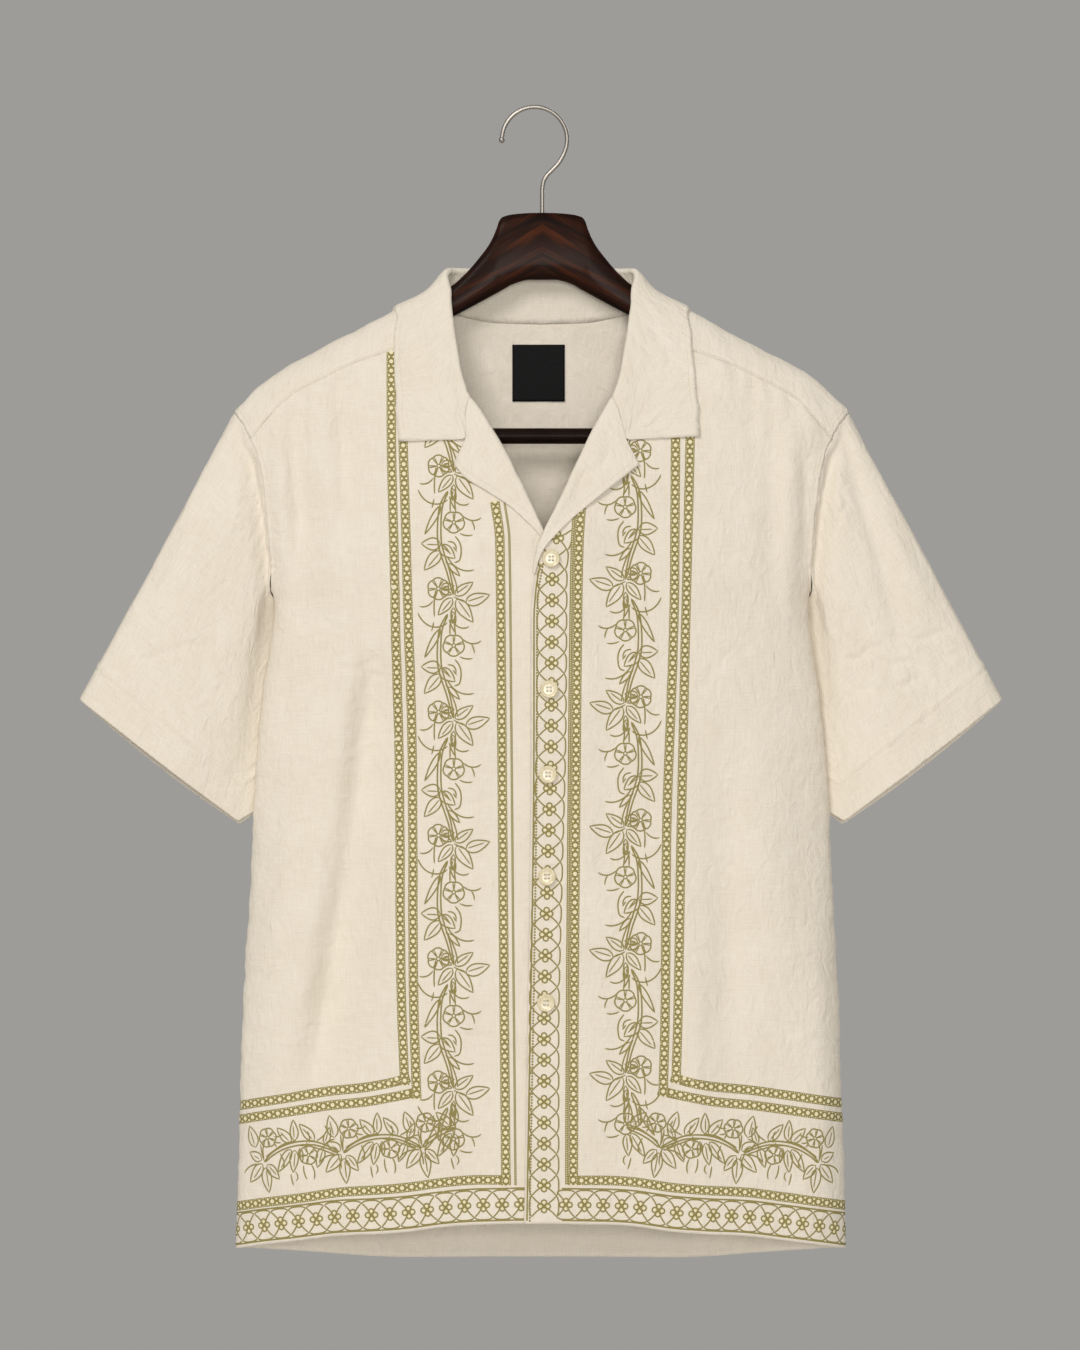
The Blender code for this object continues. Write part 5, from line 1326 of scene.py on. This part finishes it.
def addWheel(drawing, centre, radius, petals):
    # a round open flower: a scalloped rim, spokes and a small eye
    turn = np.linspace(0, 2 * np.pi, 8 * petals, endpoint=False)
    reach = radius * (1 - 0.08 * np.abs(np.cos(0.5 * petals * (turn - 0.6))) ** 4)
    rim = np.array(centre) + np.stack([reach * np.cos(turn), reach * np.sin(turn)], -1)
    addLine(drawing, rim, printLook["thin"], closed=True)
    addLine(drawing, circle(centre, 0.17 * radius, 1.0), 0.8 * printLook["thin"], closed=True)
    for k in range(petals):
        # each petal's edges, that close up towards the eye
        for turned in (-6, 6):
            out = headed((0, 0), math.degrees(0.6) + 360 * k / petals + turned, radius)
            spoke = np.array(centre) + out * np.linspace(0.2, 0.95, 4)[:, None]
            addLine(drawing, spoke, 0.8 * printLook["thin"])


def mirrored(drawing):
    return {"points": [(x, -y, z) for x, y, z in drawing["points"]],
            "faces": [face[::-1] for face in drawing["faces"]]}


# Two flowering stems. x runs down the front and y towards the buttons, or x along the hem and y up.
# leaves: base, heading, length, half width. tendrils: base, heading, length, bend. wheels: centre,
# radius, petals. end: where a last, short unit stops.
climbingVine = {
    "end": 47.0,
    "stem": ((13, 0.5), (24, -4.5), (38, -6), (52, -5.6), (62, -3), (74, 1), (91, 5)),
    "leaves": (
        (-1, 6, 126, 15, 3.3), (4.5, 14, 108, 17, 4.1), (2, 7, 36, 19, 4.2), (1, 4, -40, 15, 3.2),
        (8, 5, -5, 11, 1.6), (24, -5, -29, 22, 2.0), (53, -5, -92, 13, 4.3), (58, -5, -40, 17, 4.0),
        (54, -5.5, 50, 13.5, 3.9), (67.5, 1, 42, 11.5, 1.7), (-7, -4.5, 96, 9, 2.6),
        (-5, -4.5, 66, 8, 1.7), (11, 4, 12, 9, 1.5)),
    "tendrils": (
        (0, 5, 60, 10, 10), (3, -10.5, -30, 12, -70), (-5, -8.5, -10, 20, 15), (12, -22, 20, 28, 110),
        (19, -10, -10, 7, -5), (18, 4, 25, 15, 90), (17, 1.5, 15, 12, 20), (32, 12, 45, 15, 80),
        (35, 18, 40, 8, -35), (45, 9.5, 60, 10, 40), (62, 0, 25, 25, 80)),
    "wheels": ((36.5, 5, 8.1, 5), (-6, -6.5, 8.2, 6)),
    "strokes": (
        ((47, 6), (52, 9.5), (58, 10.6), (65, 9.4), (67, 5.5)),
        ((51, 0.5), (51.5, 4), (53.6, 6.2), (57, 7)), ((55, 4.6), (58.6, 7.2)),
        ((13, 4.5), (20, 2.4), (28.5, 2.2)), ((13, 6), (21, 5.6), (28.8, 6.4)),
        ((53, -4.5), (55.5, -1), (60, 2.2)), ((66, -1), (73, 3.2), (82, 6.6), (90, 8)))}
hemVine = {
    "end": 30.0,
    "stem": ((0, -1), (7, 4), (17, 8), (27, 9.5), (37, 9), (46, 6.5), (60, -1)),
    "leaves": (
        (-2, -2, -135, 16, 3.7), (0, -5, -89, 17, 3.7), (2, -3, -55, 13, 3.2), (-2, 1, 146, 11, 3.3),
        (-6, 11, 100, 15, 3.9), (24, 11, 128, 14, 3.3), (27, 12, 86, 14, 2.9), (23, 6, -130, 18, 3.3),
        (26, 5, -104, 15, 3.1), (42, 10, 125, 15, 3.3), (48, 4, -115, 14, 3.0), (50, 6, 65, 12, 2.4),
        (30, 6, -88, 10, 1.5)),
    "tendrils": (
        (0, 0, 105, 13, -20), (0, 2, 100, 12, -40), (11, 17, -20, 8, 50), (11, 13, -25, 5, 20),
        (31, -7, -100, 11, 30), (37, -7, -60, 12, -50), (20, -12, -90, 9, 10), (24, -11, -40, 8, -90),
        (-5, -2, 170, 16, 60), (57, 2, -65, 16, -30), (36, 9.5, -90, 4, 0), (38, 9, 70, 9, 40)),
    "wheels": ((5.5, 17, 7.2, 6), (36, 0, 7.0, 5)),
    "strokes": (
        ((2, 3), (9, 6.6), (18, 10.6), (28, 12)), ((30, 8), (38, 6.4), (47, 2.4), (57, -2.6)),
        ((12, 9), (10, 13)), ((44, 9.5), (49, 12), (53, 16), (52, 20)), ((14, 4), (16, -3), (14, -8)),
        ((48, 4), (53, 8), (58, 9)))}


def drawVine(vine, ending=False):
    # the whole unit, or its first part where the stem ends
    drawing, end = newDrawing(), vine["end"] if ending else math.inf
    stem = smoothThrough([p for p in vine["stem"] if p[0] < end], printLook["step"])
    along = unit(np.gradient(stem, axis=0))
    across = np.stack([-along[:, 1], along[:, 0]], -1)
    apart = 1.35 * np.sin(np.pi * np.linspace(0, 1, len(stem))) ** 0.4
    for sign in (-1, 1):
        addLine(drawing, stem + across * (sign * apart)[:, None], printLook["line"])
    for add, rows in ((addLeaf, vine["leaves"]), (addTendril, vine["tendrils"])):
        for x, y, *rest in rows:
            if x < end:
                add(drawing, (x, y), *rest)
    for x, y, radius, petals in vine["wheels"]:
        if x < end:
            addWheel(drawing, (x, y), radius, petals)
    for stroke in vine["strokes"]:
        if stroke[-1][0] < end:
            addLine(drawing, smoothThrough(stroke, printLook["step"]), printLook["thin"])
    return drawing


knot = {"half": 11.0, "node": 9.3, "reach": 2.8, "ring": 2.0, "dot": 1.3}


def drawInterlace(pitch):
    # diagonals that cross the next pair, arcs outside them and a knot of four rings
    drawing, end, node = newDrawing(), 0.5 * pitch, knot["node"]
    for sign in (-1, 1):
        arc = ((-end, sign * node), (-0.6 * end, sign * (knot["half"] - 0.3)), (0, sign * knot["half"]),
               (0.6 * end, sign * (knot["half"] - 0.3)), (end, sign * node))
        addLine(drawing, smoothThrough(arc, printLook["step"]), printLook["thin"])
        bowed = ((-end, -sign * node), (-0.5 * end, -sign * 0.6 * node), (0, 0),
                 (0.5 * end, sign * 0.6 * node), (end, sign * node))
        addLine(drawing, smoothThrough(bowed, printLook["step"]), printLook["thin"])
    for x, y in knotPlaces():
        addLine(drawing, circle((x, y), knot["ring"], 1.5), printLook["line"], closed=True)
    return drawing


def knotPlaces():
    return [(knot["reach"] * x, knot["reach"] * y) for x, y in ((-1, 0), (1, 0), (0, -1), (0, 1))]


def drawKnotDots():
    drawing = newDrawing()
    for centre in knotPlaces():
        addDot(drawing, centre, knot["dot"])
    return drawing


def drawChainDots():
    # one link: a big dot, then four small ones round a cross
    drawing, half = newDrawing(), 0.5 * printLook["chainPitch"]
    addDot(drawing, (0, 0), 1.62, 8)
    for side in (-1, 1):
        addDot(drawing, (half, 1.75 * side), 0.95)
        addDot(drawing, (0, 2.75 * side), 0.5, 5)
        for ahead in (-1, 1):
            addDot(drawing, (half + 1.75 * ahead, 2.7 * side), 0.4, 4)
    return drawing


def drawBead(radius):
    drawing = newDrawing()
    addDot(drawing, (0, 0), radius, 5)
    return drawing


def flatObject(name, drawing):
    mesh = bpy.data.meshes.new(name)
    mesh.from_pydata((np.array(drawing["points"], float) * mm).tolist(), [], drawing["faces"])
    mesh.shade_smooth()
    return addObject(name, mesh)


def chainOf(name, points):
    # points of the flat pattern joined by edges, for a path or for a line's section
    mesh = bpy.data.meshes.new(name)
    steps = [(k, k + 1) for k in range(len(points) - 1)]
    mesh.from_pydata([(u * mm, v * mm, 0.0) for u, v in points], steps, [])
    return addObject(name, mesh)


def layOnCloth(tree, geometry, skin, lift):
    # from the cloth's flat pattern, its UV map, onto its outside; what falls off it is dropped
    source = addNode(tree, "GeometryNodeObjectInfo", None, {"Object": skin}).outputs["Geometry"]
    pattern = addNode(tree, "GeometryNodeInputNamedAttribute", {"data_type": "FLOAT_VECTOR"},
                      {"Name": "UVMap"}).outputs["Attribute"]
    flat = addNode(tree, "GeometryNodeInputPosition").outputs[0]
    facing = addNode(tree, "GeometryNodeInputNormal").outputs[0]
    place, normal = (addNode(tree, "GeometryNodeSampleUVSurface", {"data_type": "FLOAT_VECTOR"}, {
        "Mesh": source, "Value": value, "Source UV Map": pattern, "Sample UV": flat})
        for value in (flat, facing))
    missed = addNode(tree, "FunctionNodeBooleanMath", {"operation": "NOT"},
                     {0: place.outputs["Is Valid"]})
    kept = addNode(tree, "GeometryNodeDeleteGeometry", {"domain": "POINT"},
                   {"Geometry": geometry, "Selection": missed.outputs[0]})
    height = addNode(tree, "ShaderNodeSeparateXYZ", None, {0: flat}).outputs[2]
    rise = addNode(tree, "ShaderNodeMath", {"operation": "ADD"}, {0: height, 1: lift})
    step = addNode(tree, "ShaderNodeVectorMath", {"operation": "SCALE"},
                   {0: normal.outputs["Value"], "Scale": rise.outputs[0]})
    laid = addNode(tree, "ShaderNodeVectorMath", {"operation": "ADD"},
                   {0: place.outputs["Value"], 1: step.outputs[0]})
    return addNode(tree, "GeometryNodeSetPosition", None,
                   {"Geometry": kept.outputs[0], "Position": laid.outputs[0]}).outputs[0]


def makeTree(name, item):
    # either a motif set at a pitch along a path, or a line of some section swept along it
    tree = bpy.data.node_groups.new(name, "GeometryNodeTree")
    for label, kind in (("Path", "Geometry"), (item, "Object"), ("Pitch", "Float"), ("Cloth", "Object"),
                        ("Lift", "Float"), ("Finish", "Material")):
        tree.interface.new_socket(label, in_out="INPUT", socket_type="NodeSocket" + kind)
    tree.interface.new_socket("Geometry", in_out="OUTPUT", socket_type="NodeSocketGeometry")
    given = addNode(tree, "NodeGroupInput").outputs
    curve = addNode(tree, "GeometryNodeMeshToCurve", None, {0: given["Path"]}).outputs[0]
    thing = addNode(tree, "GeometryNodeObjectInfo", None, {"Object": given[item]}).outputs["Geometry"]
    if item == "Motif":
        places = addNode(tree, "GeometryNodeCurveToPoints", {"mode": "LENGTH"},
                         {"Curve": curve, "Length": given["Pitch"]})
        turn = addNode(tree, "FunctionNodeAlignRotationToVector", {"axis": "X", "pivot_axis": "Z"},
                       {"Vector": places.outputs["Tangent"]})
        copies = addNode(tree, "GeometryNodeInstanceOnPoints", None, {
            "Points": places.outputs["Points"], "Instance": thing, "Rotation": turn.outputs[0]})
        flat = addNode(tree, "GeometryNodeRealizeInstances", None, {0: copies.outputs[0]}).outputs[0]
    else:
        even = addNode(tree, "GeometryNodeResampleCurve", {"mode": "LENGTH"},
                       {"Curve": curve, "Length": given["Pitch"]}).outputs[0]
        across = addNode(tree, "GeometryNodeMeshToCurve", None, {0: thing}).outputs[0]
        flat = addNode(tree, "GeometryNodeCurveToMesh", None, {
            "Curve": even, "Profile Curve": across}).outputs[0]
    laid = layOnCloth(tree, flat, given["Cloth"], given["Lift"])
    whole = addNode(tree, "GeometryNodeRealizeInstances", None, {0: laid}).outputs[0]
    done = addNode(tree, "GeometryNodeSetMaterial", None, {
        "Geometry": whole, "Material": given["Finish"]})
    addNode(tree, "NodeGroupOutput", None, {0: done.outputs[0]})
    return tree


repeatTree, sweepTree = makeTree("repeatAlongPath", "Motif"), makeTree("sweepAlongPath", "Section")


def growAlong(tree, path, item, pitch, part, lift, finish):
    # runs one of the trees over a path in a piece's flat pattern, and keeps a plain mesh
    host = chainOf("path", np.asarray(path) / mm)
    live = host.modifiers.new("along", "NODES")
    live.node_group = tree
    values = (item, pitch * mm, part["skin"], lift * mm, finish)
    sockets = [s for s in tree.interface.items_tree if s.in_out == "INPUT"]
    for socket, value in zip(sockets[1:], values):
        live[socket.identifier] = value
    mesh = bpy.data.meshes.new_from_object(host.evaluated_get(bpy.context.evaluated_depsgraph_get()))
    bpy.data.objects.remove(host)
    mesh.materials.clear()
    mesh.materials.append(finish)
    mesh.polygons.foreach_set("material_index", np.zeros(len(mesh.polygons), int))
    return addObject("laid", mesh)


def inkMaterial(name, low, high):
    # pigment ink pressed into the same weave: matt, thinner where threads stand up
    material, tree, shader = newMaterial(name)
    coords = addNode(tree, "ShaderNodeTexCoord").outputs["Object"]
    patch = addNode(tree, "ShaderNodeTexNoise", None, {
        "Vector": coords, "Scale": 900.0, "Detail": 3.0, "Roughness": 0.7}).outputs[0]
    dressSurface(tree, shader, patch, ((0.3, low), (0.72, high)), [(patch, 0.2, 0.3)])
    shader.inputs["Roughness"].default_value = 0.85
    shader.inputs["Specular IOR Level"].default_value = 0.2
    return material


olive = inkMaterial("olivePigmentPrint", printLook["oliveDark"], printLook["olive"])
pale = inkMaterial("paleYellowPigmentPrint", printLook["paleDark"], printLook["pale"])


def onPattern(x, drop):
    # a point of the front, by its reach and drop, in the flat pattern
    return onBodyPattern(acrossBody(frontAngle(x, drop), drop), drop)


def downFront(rows):
    # a path down a front, from a table of drop and reach
    drop = np.linspace(rows[0][0], rows[-1][0], round((rows[-1][0] - rows[0][0]) / 4))
    return onPattern(look(smoothTable(rows), 1, drop), drop)


def aboveHem(side, rows):
    # a path along a front's hem, from a table of reach and height above the hem, past the side seam
    reach = np.linspace(rows[0][0], rows[-1][0], round((rows[-1][0] - rows[0][0]) / 3))
    drop = look(hems, 1, reach) - look(smoothTable(rows), 1, reach)
    path = onPattern(side * reach, drop)
    return np.concatenate([path, path[-1:] + (path[-1:] - path[-2:-1]) * 8])


# drop and reach down each front, then reach and height above the hem along it
borders = {
    -1: {"outer": (((186, -113.2), (257, -112.6), (359, -109.8), (494, -106.9), (674, -104.6),
                    (737.5, -102.2)),
                   ((98.4, 115.5), (112, 113), (136, 110), (151, 109), (228, 107.5))),
         "middle": (((250, -104), (359, -100.4), (494, -96.8), (674, -95.4), (747.5, -93.2)),
                    ((90.4, 104.5), (112, 102), (136, 99.3), (151, 98.4), (228, 97))),
         "inner": (((300, -34.6), (329, -30.9), (449, -29.6), (621, -28.1), (812, -26.3)),
                   ((22.6, 33), (60, 33.6), (140, 33), (180, 32), (228, 31.8))),
         "vine": -70.4, "firstNode": 186.5, "hemInner": 12},
    1: {"outer": (((226, 112.8), (250, 112.3), (374, 108.9), (554, 105), (674, 102.8),
                   (735.8, 101.2)),
                  ((97.5, 116), (112, 113), (136, 110.5), (151, 110), (228, 109.5))),
        "middle": (((200, 102.5), (250, 101.3), (374, 99.9), (554, 94.1), (674, 93),
                    (745.4, 91.5)),
                   ((87.8, 104.6), (112, 102), (136, 99.3), (151, 98.8), (228, 98.6))),
        "inner": (((300, 30.5), (334, 28.1), (478, 26.2), (746, 24.2), (811, 24)),
                  ((20.2, 33), (60, 33.3), (140, 33), (228, 32.6))),
        "vine": 68.1, "firstNode": 175, "hemInner": 15.5}}
# drop and reach of the knots, how far in from the edge its line and beads run, and the line beside
# each inner band: offset, width, bead, pitch of the beads and height
placket = {
    "rows": ((327.6, 12), (343.2, 9), (358.8, 8.3), (374, 8.2), (472, 7.5), (580, 4.8),
             (703, 2.2), (827.3, 2.2)),
    "line": 2.4, "beads": 4.5,
    "beside": {-1: (7.2, 1.7, 0.42, 1.9, 0.0), 1: (-4.9, 2.3, 0.5, 1.7, 0.1)}}


def printFront(side):
    part, rows = cloth[sided("front", side)], borders[side]
    lift, laid = printLook["lift"], []

    def sweep(path, width, height=0.0):
        section = chainOf("section", [(x, 0.0) for x in np.linspace(-0.5, 0.5, 3) * width])
        laid.append(growAlong(sweepTree, path, section, 2.4, part, lift + height, olive))

    def repeat(path, drawing, pitch, height=0.05, ink=olive):
        motif = flatObject("motif", drawing)
        laid.append(growAlong(repeatTree, path, motif, pitch, part, lift + height, ink))

    # the bands meet in square corners, and their dots stop short of the ends of the ground
    wide, pitch = printLook["chainWidth"], printLook["chainPitch"]
    for k, name in enumerate(("outer", "middle", "inner")):
        down, along = rows[name]
        (endDrop, endX), (startX, height) = down[-1], along[0]
        sweep(downFront(down), wide, 0.03 * k)
        sweep(aboveHem(side, along), wide, 0.03 * k + 0.015)
        inward = startX + 0.5 * wide + 0.9 * pitch
        for path in (downFront(down[:-1] + ((endDrop - 0.5 * wide, endX),)),
                     aboveHem(side, ((inward, height),) + along[1:])):
            repeat(path, drawChainDots(), pitch, height=0.2, ink=pale)
    inner, level, end = rows["hemInner"], printLook["hemMiddle"], printLook["hemEnd"]
    for height in printLook["hemLines"]:
        sweep(aboveHem(side, ((inner, height), (end, height))), printLook["line"])
    interlaces = [(aboveHem(side, ((inner + 3.0, level), (end, level))), printLook["hemPitch"])]
    if side > 0:
        interlaces.append((downFront(placket["rows"]), printLook["placketPitch"]))
        edge = [(drop, x) for drop, x in topEdgeRows if drop > 347.0]
        edge[-1] = (838.0, edge[-1][1])
        sweep(downFront([(drop, x + placket["line"]) for drop, x in edge]), printLook["line"])
        repeat(downFront([(drop, x + placket["beads"]) for drop, x in edge]), drawBead(0.9), 2.2)
    # a beaded line beside the inner band
    offset, width, bead, pitch, height = placket["beside"][side]
    beside = downFront([(drop, x + offset) for drop, x in rows["inner"][0]])
    sweep(beside, width, height)
    repeat(beside, drawBead(bead), pitch, height=height + 0.2, ink=pale)
    for path, pitch in interlaces:
        repeat(path, drawInterlace(pitch), pitch)
        repeat(path, drawKnotDots(), pitch, ink=pale)
    # the stems: six whole units and a last short one, then along the hem towards the buttons
    turned = mirrored if side > 0 else dict
    nodes = rows["firstNode"] + printLook["vinePitch"] * np.arange(7)
    x, height, once = rows["vine"], printLook["vineHeight"], printLook["once"]
    for start, end, ending, pitch in ((nodes[0], nodes[5] + 0.1, False, printLook["vinePitch"]),
                                      (nodes[6], nodes[6] + 20, True, once)):
        path = downFront(((start, x), (end, x)))
        repeat(path, turned(drawVine(climbingVine, ending)), pitch)
    for start, end, ending, pitch in ((209, 148.5, False, printLook["hemVinePitch"]),
                                      (89, 70, True, once)):
        path = aboveHem(side, ((end, height), (start, height)))[-2::-1]
        repeat(path, turned(drawVine(hemVine, ending)), pitch)
    for thing in [o for o in bpy.data.objects if o.name.startswith(("motif", "section"))]:
        bpy.data.objects.remove(thing)
    return joinPieces(sided("print", side), laid)


printPieces = [printFront(-1), printFront(1)]
for piece in printPieces:
    print(f"{piece.name}: {sum(len(p.vertices) - 2 for p in piece.data.polygons)} triangles")

# Top-stitching, 3 mm a stitch as on the real shirt: one stitch laid along the seams.
stitching = {
    "pitch": 3.0, "long": 2.3, "thick": 0.52, "high": 0.3, "lift": 0.02,
    "armRows": 62, "armLowest": 370.0}   # rows of the yoke from a front seam to the back's corner


def drawStitch():
    # a five-sided bar with pointed ends
    half, wide, high = (0.5 * stitching[key] for key in ("long", "thick", "high"))
    turn = 2 * np.pi * np.arange(5) / 5
    points = [(-half, 0.0, 0.0)]
    points += [(x, wide * math.cos(a), high * math.sin(a))
               for x in (-0.7 * half, 0.7 * half) for a in turn]
    points.append((half, 0.0, 0.0))
    faces = [(1 + k, 1 + (k + 1) % 5, 6 + (k + 1) % 5, 6 + k) for k in range(5)]
    faces += [(0, 1 + (k + 1) % 5, 1 + k) for k in range(5)]
    faces += [(11, 6 + k, 6 + (k + 1) % 5) for k in range(5)]
    return {"points": points, "faces": faces}


def insideEdge(part, inset, axis, end, keep=None):
    # a path in the flat pattern, at a distance from one edge of the piece
    grid = part["grid"]
    uv = part["uv"][:, :grid.shape[1]]
    if axis == 0:
        grid, uv = grid.swapaxes(0, 1), uv.swapaxes(0, 1)
    step = -1 if end else 1
    path = [[np.interp(inset, walked[::step], spots[::step, k]) for k in (0, 1)]
            for walked, spots in zip(fromEdge(grid, 1, end), uv)]
    return np.array(path) if keep is None else np.array(path)[keep]


def makeStitches():
    arm, seam, yoke = tailor["armStitch"], tailor["yokeStitch"], cloth["yokePanel"]
    rows, armRows = len(yoke["grid"]), stitching["armRows"]
    paths = [insideEdge(yoke, seam, 0, end) for end in (0, 1)]
    paths += [insideEdge(yoke, arm, 1, 1, slice(2, armRows - 2)),
              insideEdge(yoke, arm, 1, 1, slice(rows - armRows + 2, rows - 2)),
              insideEdge(yoke, seam, 1, 1, slice(armRows, rows - armRows))]
    lines = [("yokePanel", path) for path in paths]
    for name, ends in (("frontLeft", (1,)), ("frontRight", (1,)), ("backPanel", (0, 1))):
        part = cloth[name]
        for end in ends:
            drop = -part["grid"][:, -end, 2]
            lines.append((name, insideEdge(part, arm, 1, end, drop < stitching["armLowest"])))
    lines.append(("backPanel", insideEdge(cloth["backPanel"], tailor["hemHeight"], 0, 1)))
    for name in ("sleeveLeft", "sleeveRight"):
        uv = cloth[name]["uv"]
        height = pattern["cuff"] + tailor["cuffHeight"] * mm
        lines.append((name, np.array([(u, height) for u in np.linspace(uv[0, 0, 0], uv[0, -1, 0], 9)])))
    for name in ("collarLinen", "lapelLeft", "lapelRight"):
        keep = slice(4, -4) if name == "collarLinen" else slice(6, 50)
        lines.append((name, insideEdge(cloth[name], tailor["edgeStitch"], 1, 1, keep)))
    motif = flatObject("motif", drawStitch())
    pitch, lift = stitching["pitch"], stitching["lift"]
    laid = [growAlong(repeatTree, path, motif, pitch, cloth[name], lift, thread)
            for name, path in lines]
    bpy.data.objects.remove(motif)
    return joinPieces("topStitching", laid)


stitches = makeStitches()
print(f"{stitches.name}: {sum(len(p.vertices) - 2 for p in stitches.data.polygons)} triangles")

for part in list(cloth.values()) + [labelPart]:
    bpy.data.objects.remove(part["skin"])

# what each piece of cloth stands for, and the rectangle and area that it was cut to, in metres
cuts = {
    "frontLeft": ("front_left", (0.30, 0.72), 0.170),
    "frontRight": ("front_right", (0.30, 0.72), 0.172),
    "backPanel": ("back", (0.56, 0.66), 0.305),
    "yokePanel": ("yoke", (0.48, 0.22), 0.064),
    "sleeveLeft": ("sleeve_left", (0.46, 0.24), 0.072),
    "sleeveRight": ("sleeve_right", (0.46, 0.24), 0.072),
    "collarLinen": ("collar", (0.46, 0.10), 0.040),
    "lapelLeft": ("lapel_left", (0.13, 0.05), 0.0042),
    "lapelRight": ("lapel_right", (0.13, 0.05), 0.0038)}
for name, part in cloth.items():
    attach(part["piece"], "root")
    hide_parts(cuts[name][0])
for piece, nodes, slot in (
        (woodPieces[0], ["hanger_body"], "walnut"), (woodPieces[1], ["hanger_bar"], "walnut"),
        (hookPiece, ["hanger_hook"], "hook_steel"), (labelPart["piece"], ["label"], "label_weave")):
    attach(piece, "root")
    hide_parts(*nodes)
for piece in printPieces + [stitches, buttonThreads]:
    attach(piece, "root")
for number, piece in enumerate(buttonPieces, 1):
    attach(piece, "root")
    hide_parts(f"button_{number}")

# metres, watts; the lights' places, diameters, powers and colours
studio = {
    "camera": (-0.0008, -3.0, -0.43), "lens": 105.3, "floor": -1.3, "floorSize": 1.8,
    "aim": (0.0, 0.0, -0.45), "air": "E8E6E2", "airStrength": 0.42,
    "keyLight": ((-1.8, -4.2, 2.4), 1.9, 110.0, "FFFAF3"),
    "fillLight": ((0.3, -4.6, -0.2), 1.2, 66.0, "FFFBF5"),
    "backLight": ((0.6, 2.2, 0.8), 1.6, 22.0, "FFFFFF")}

for name in ("keyLight", "fillLight", "backLight"):
    place, size, power, colour = studio[name]
    lamp = bpy.data.lights.new(name, "AREA")
    lamp.shape, lamp.size, lamp.energy = "DISK", size, power
    lamp.color = hexColour(colour)[:3]
    light = addObject(name, lamp)
    light.location = place
    towards = Vector(studio["aim"]) - Vector(place)
    light.rotation_euler = towards.to_track_quat("-Z", "Y").to_euler()
world = bpy.data.worlds.new("studioAir")
scene.world = world
world.use_nodes = True
air = world.node_tree.nodes["Background"]
air.inputs["Color"].default_value = hexColour(studio["air"])
air.inputs["Strength"].default_value = studio["airStrength"]

corners = [(x * studio["floorSize"], y * studio["floorSize"], studio["floor"])
           for x, y in ((-1, -1), (1, -1), (1, 1), (-1, 1))]
floorMesh = bpy.data.meshes.new("floor")
floorMesh.from_pydata(corners, [], [(0, 1, 2, 3)])
floor = addObject("floor", floorMesh)
paint, _, paintShader = newMaterial("mattFloorPaint")   # flat emulsion, off-white
paintShader.inputs["Base Color"].default_value = hexColour("E4E1DB")
paintShader.inputs["Roughness"].default_value = 0.8
floorMesh.materials.append(paint)

lens = bpy.data.cameras.new("camera")
lens.lens, lens.sensor_width = studio["lens"], 36.0
camera = addObject("camera", lens)
camera.location = studio["camera"]
camera.rotation_euler = (math.radians(90), 0.0, 0.0)
scene.camera = camera
print("studio set")
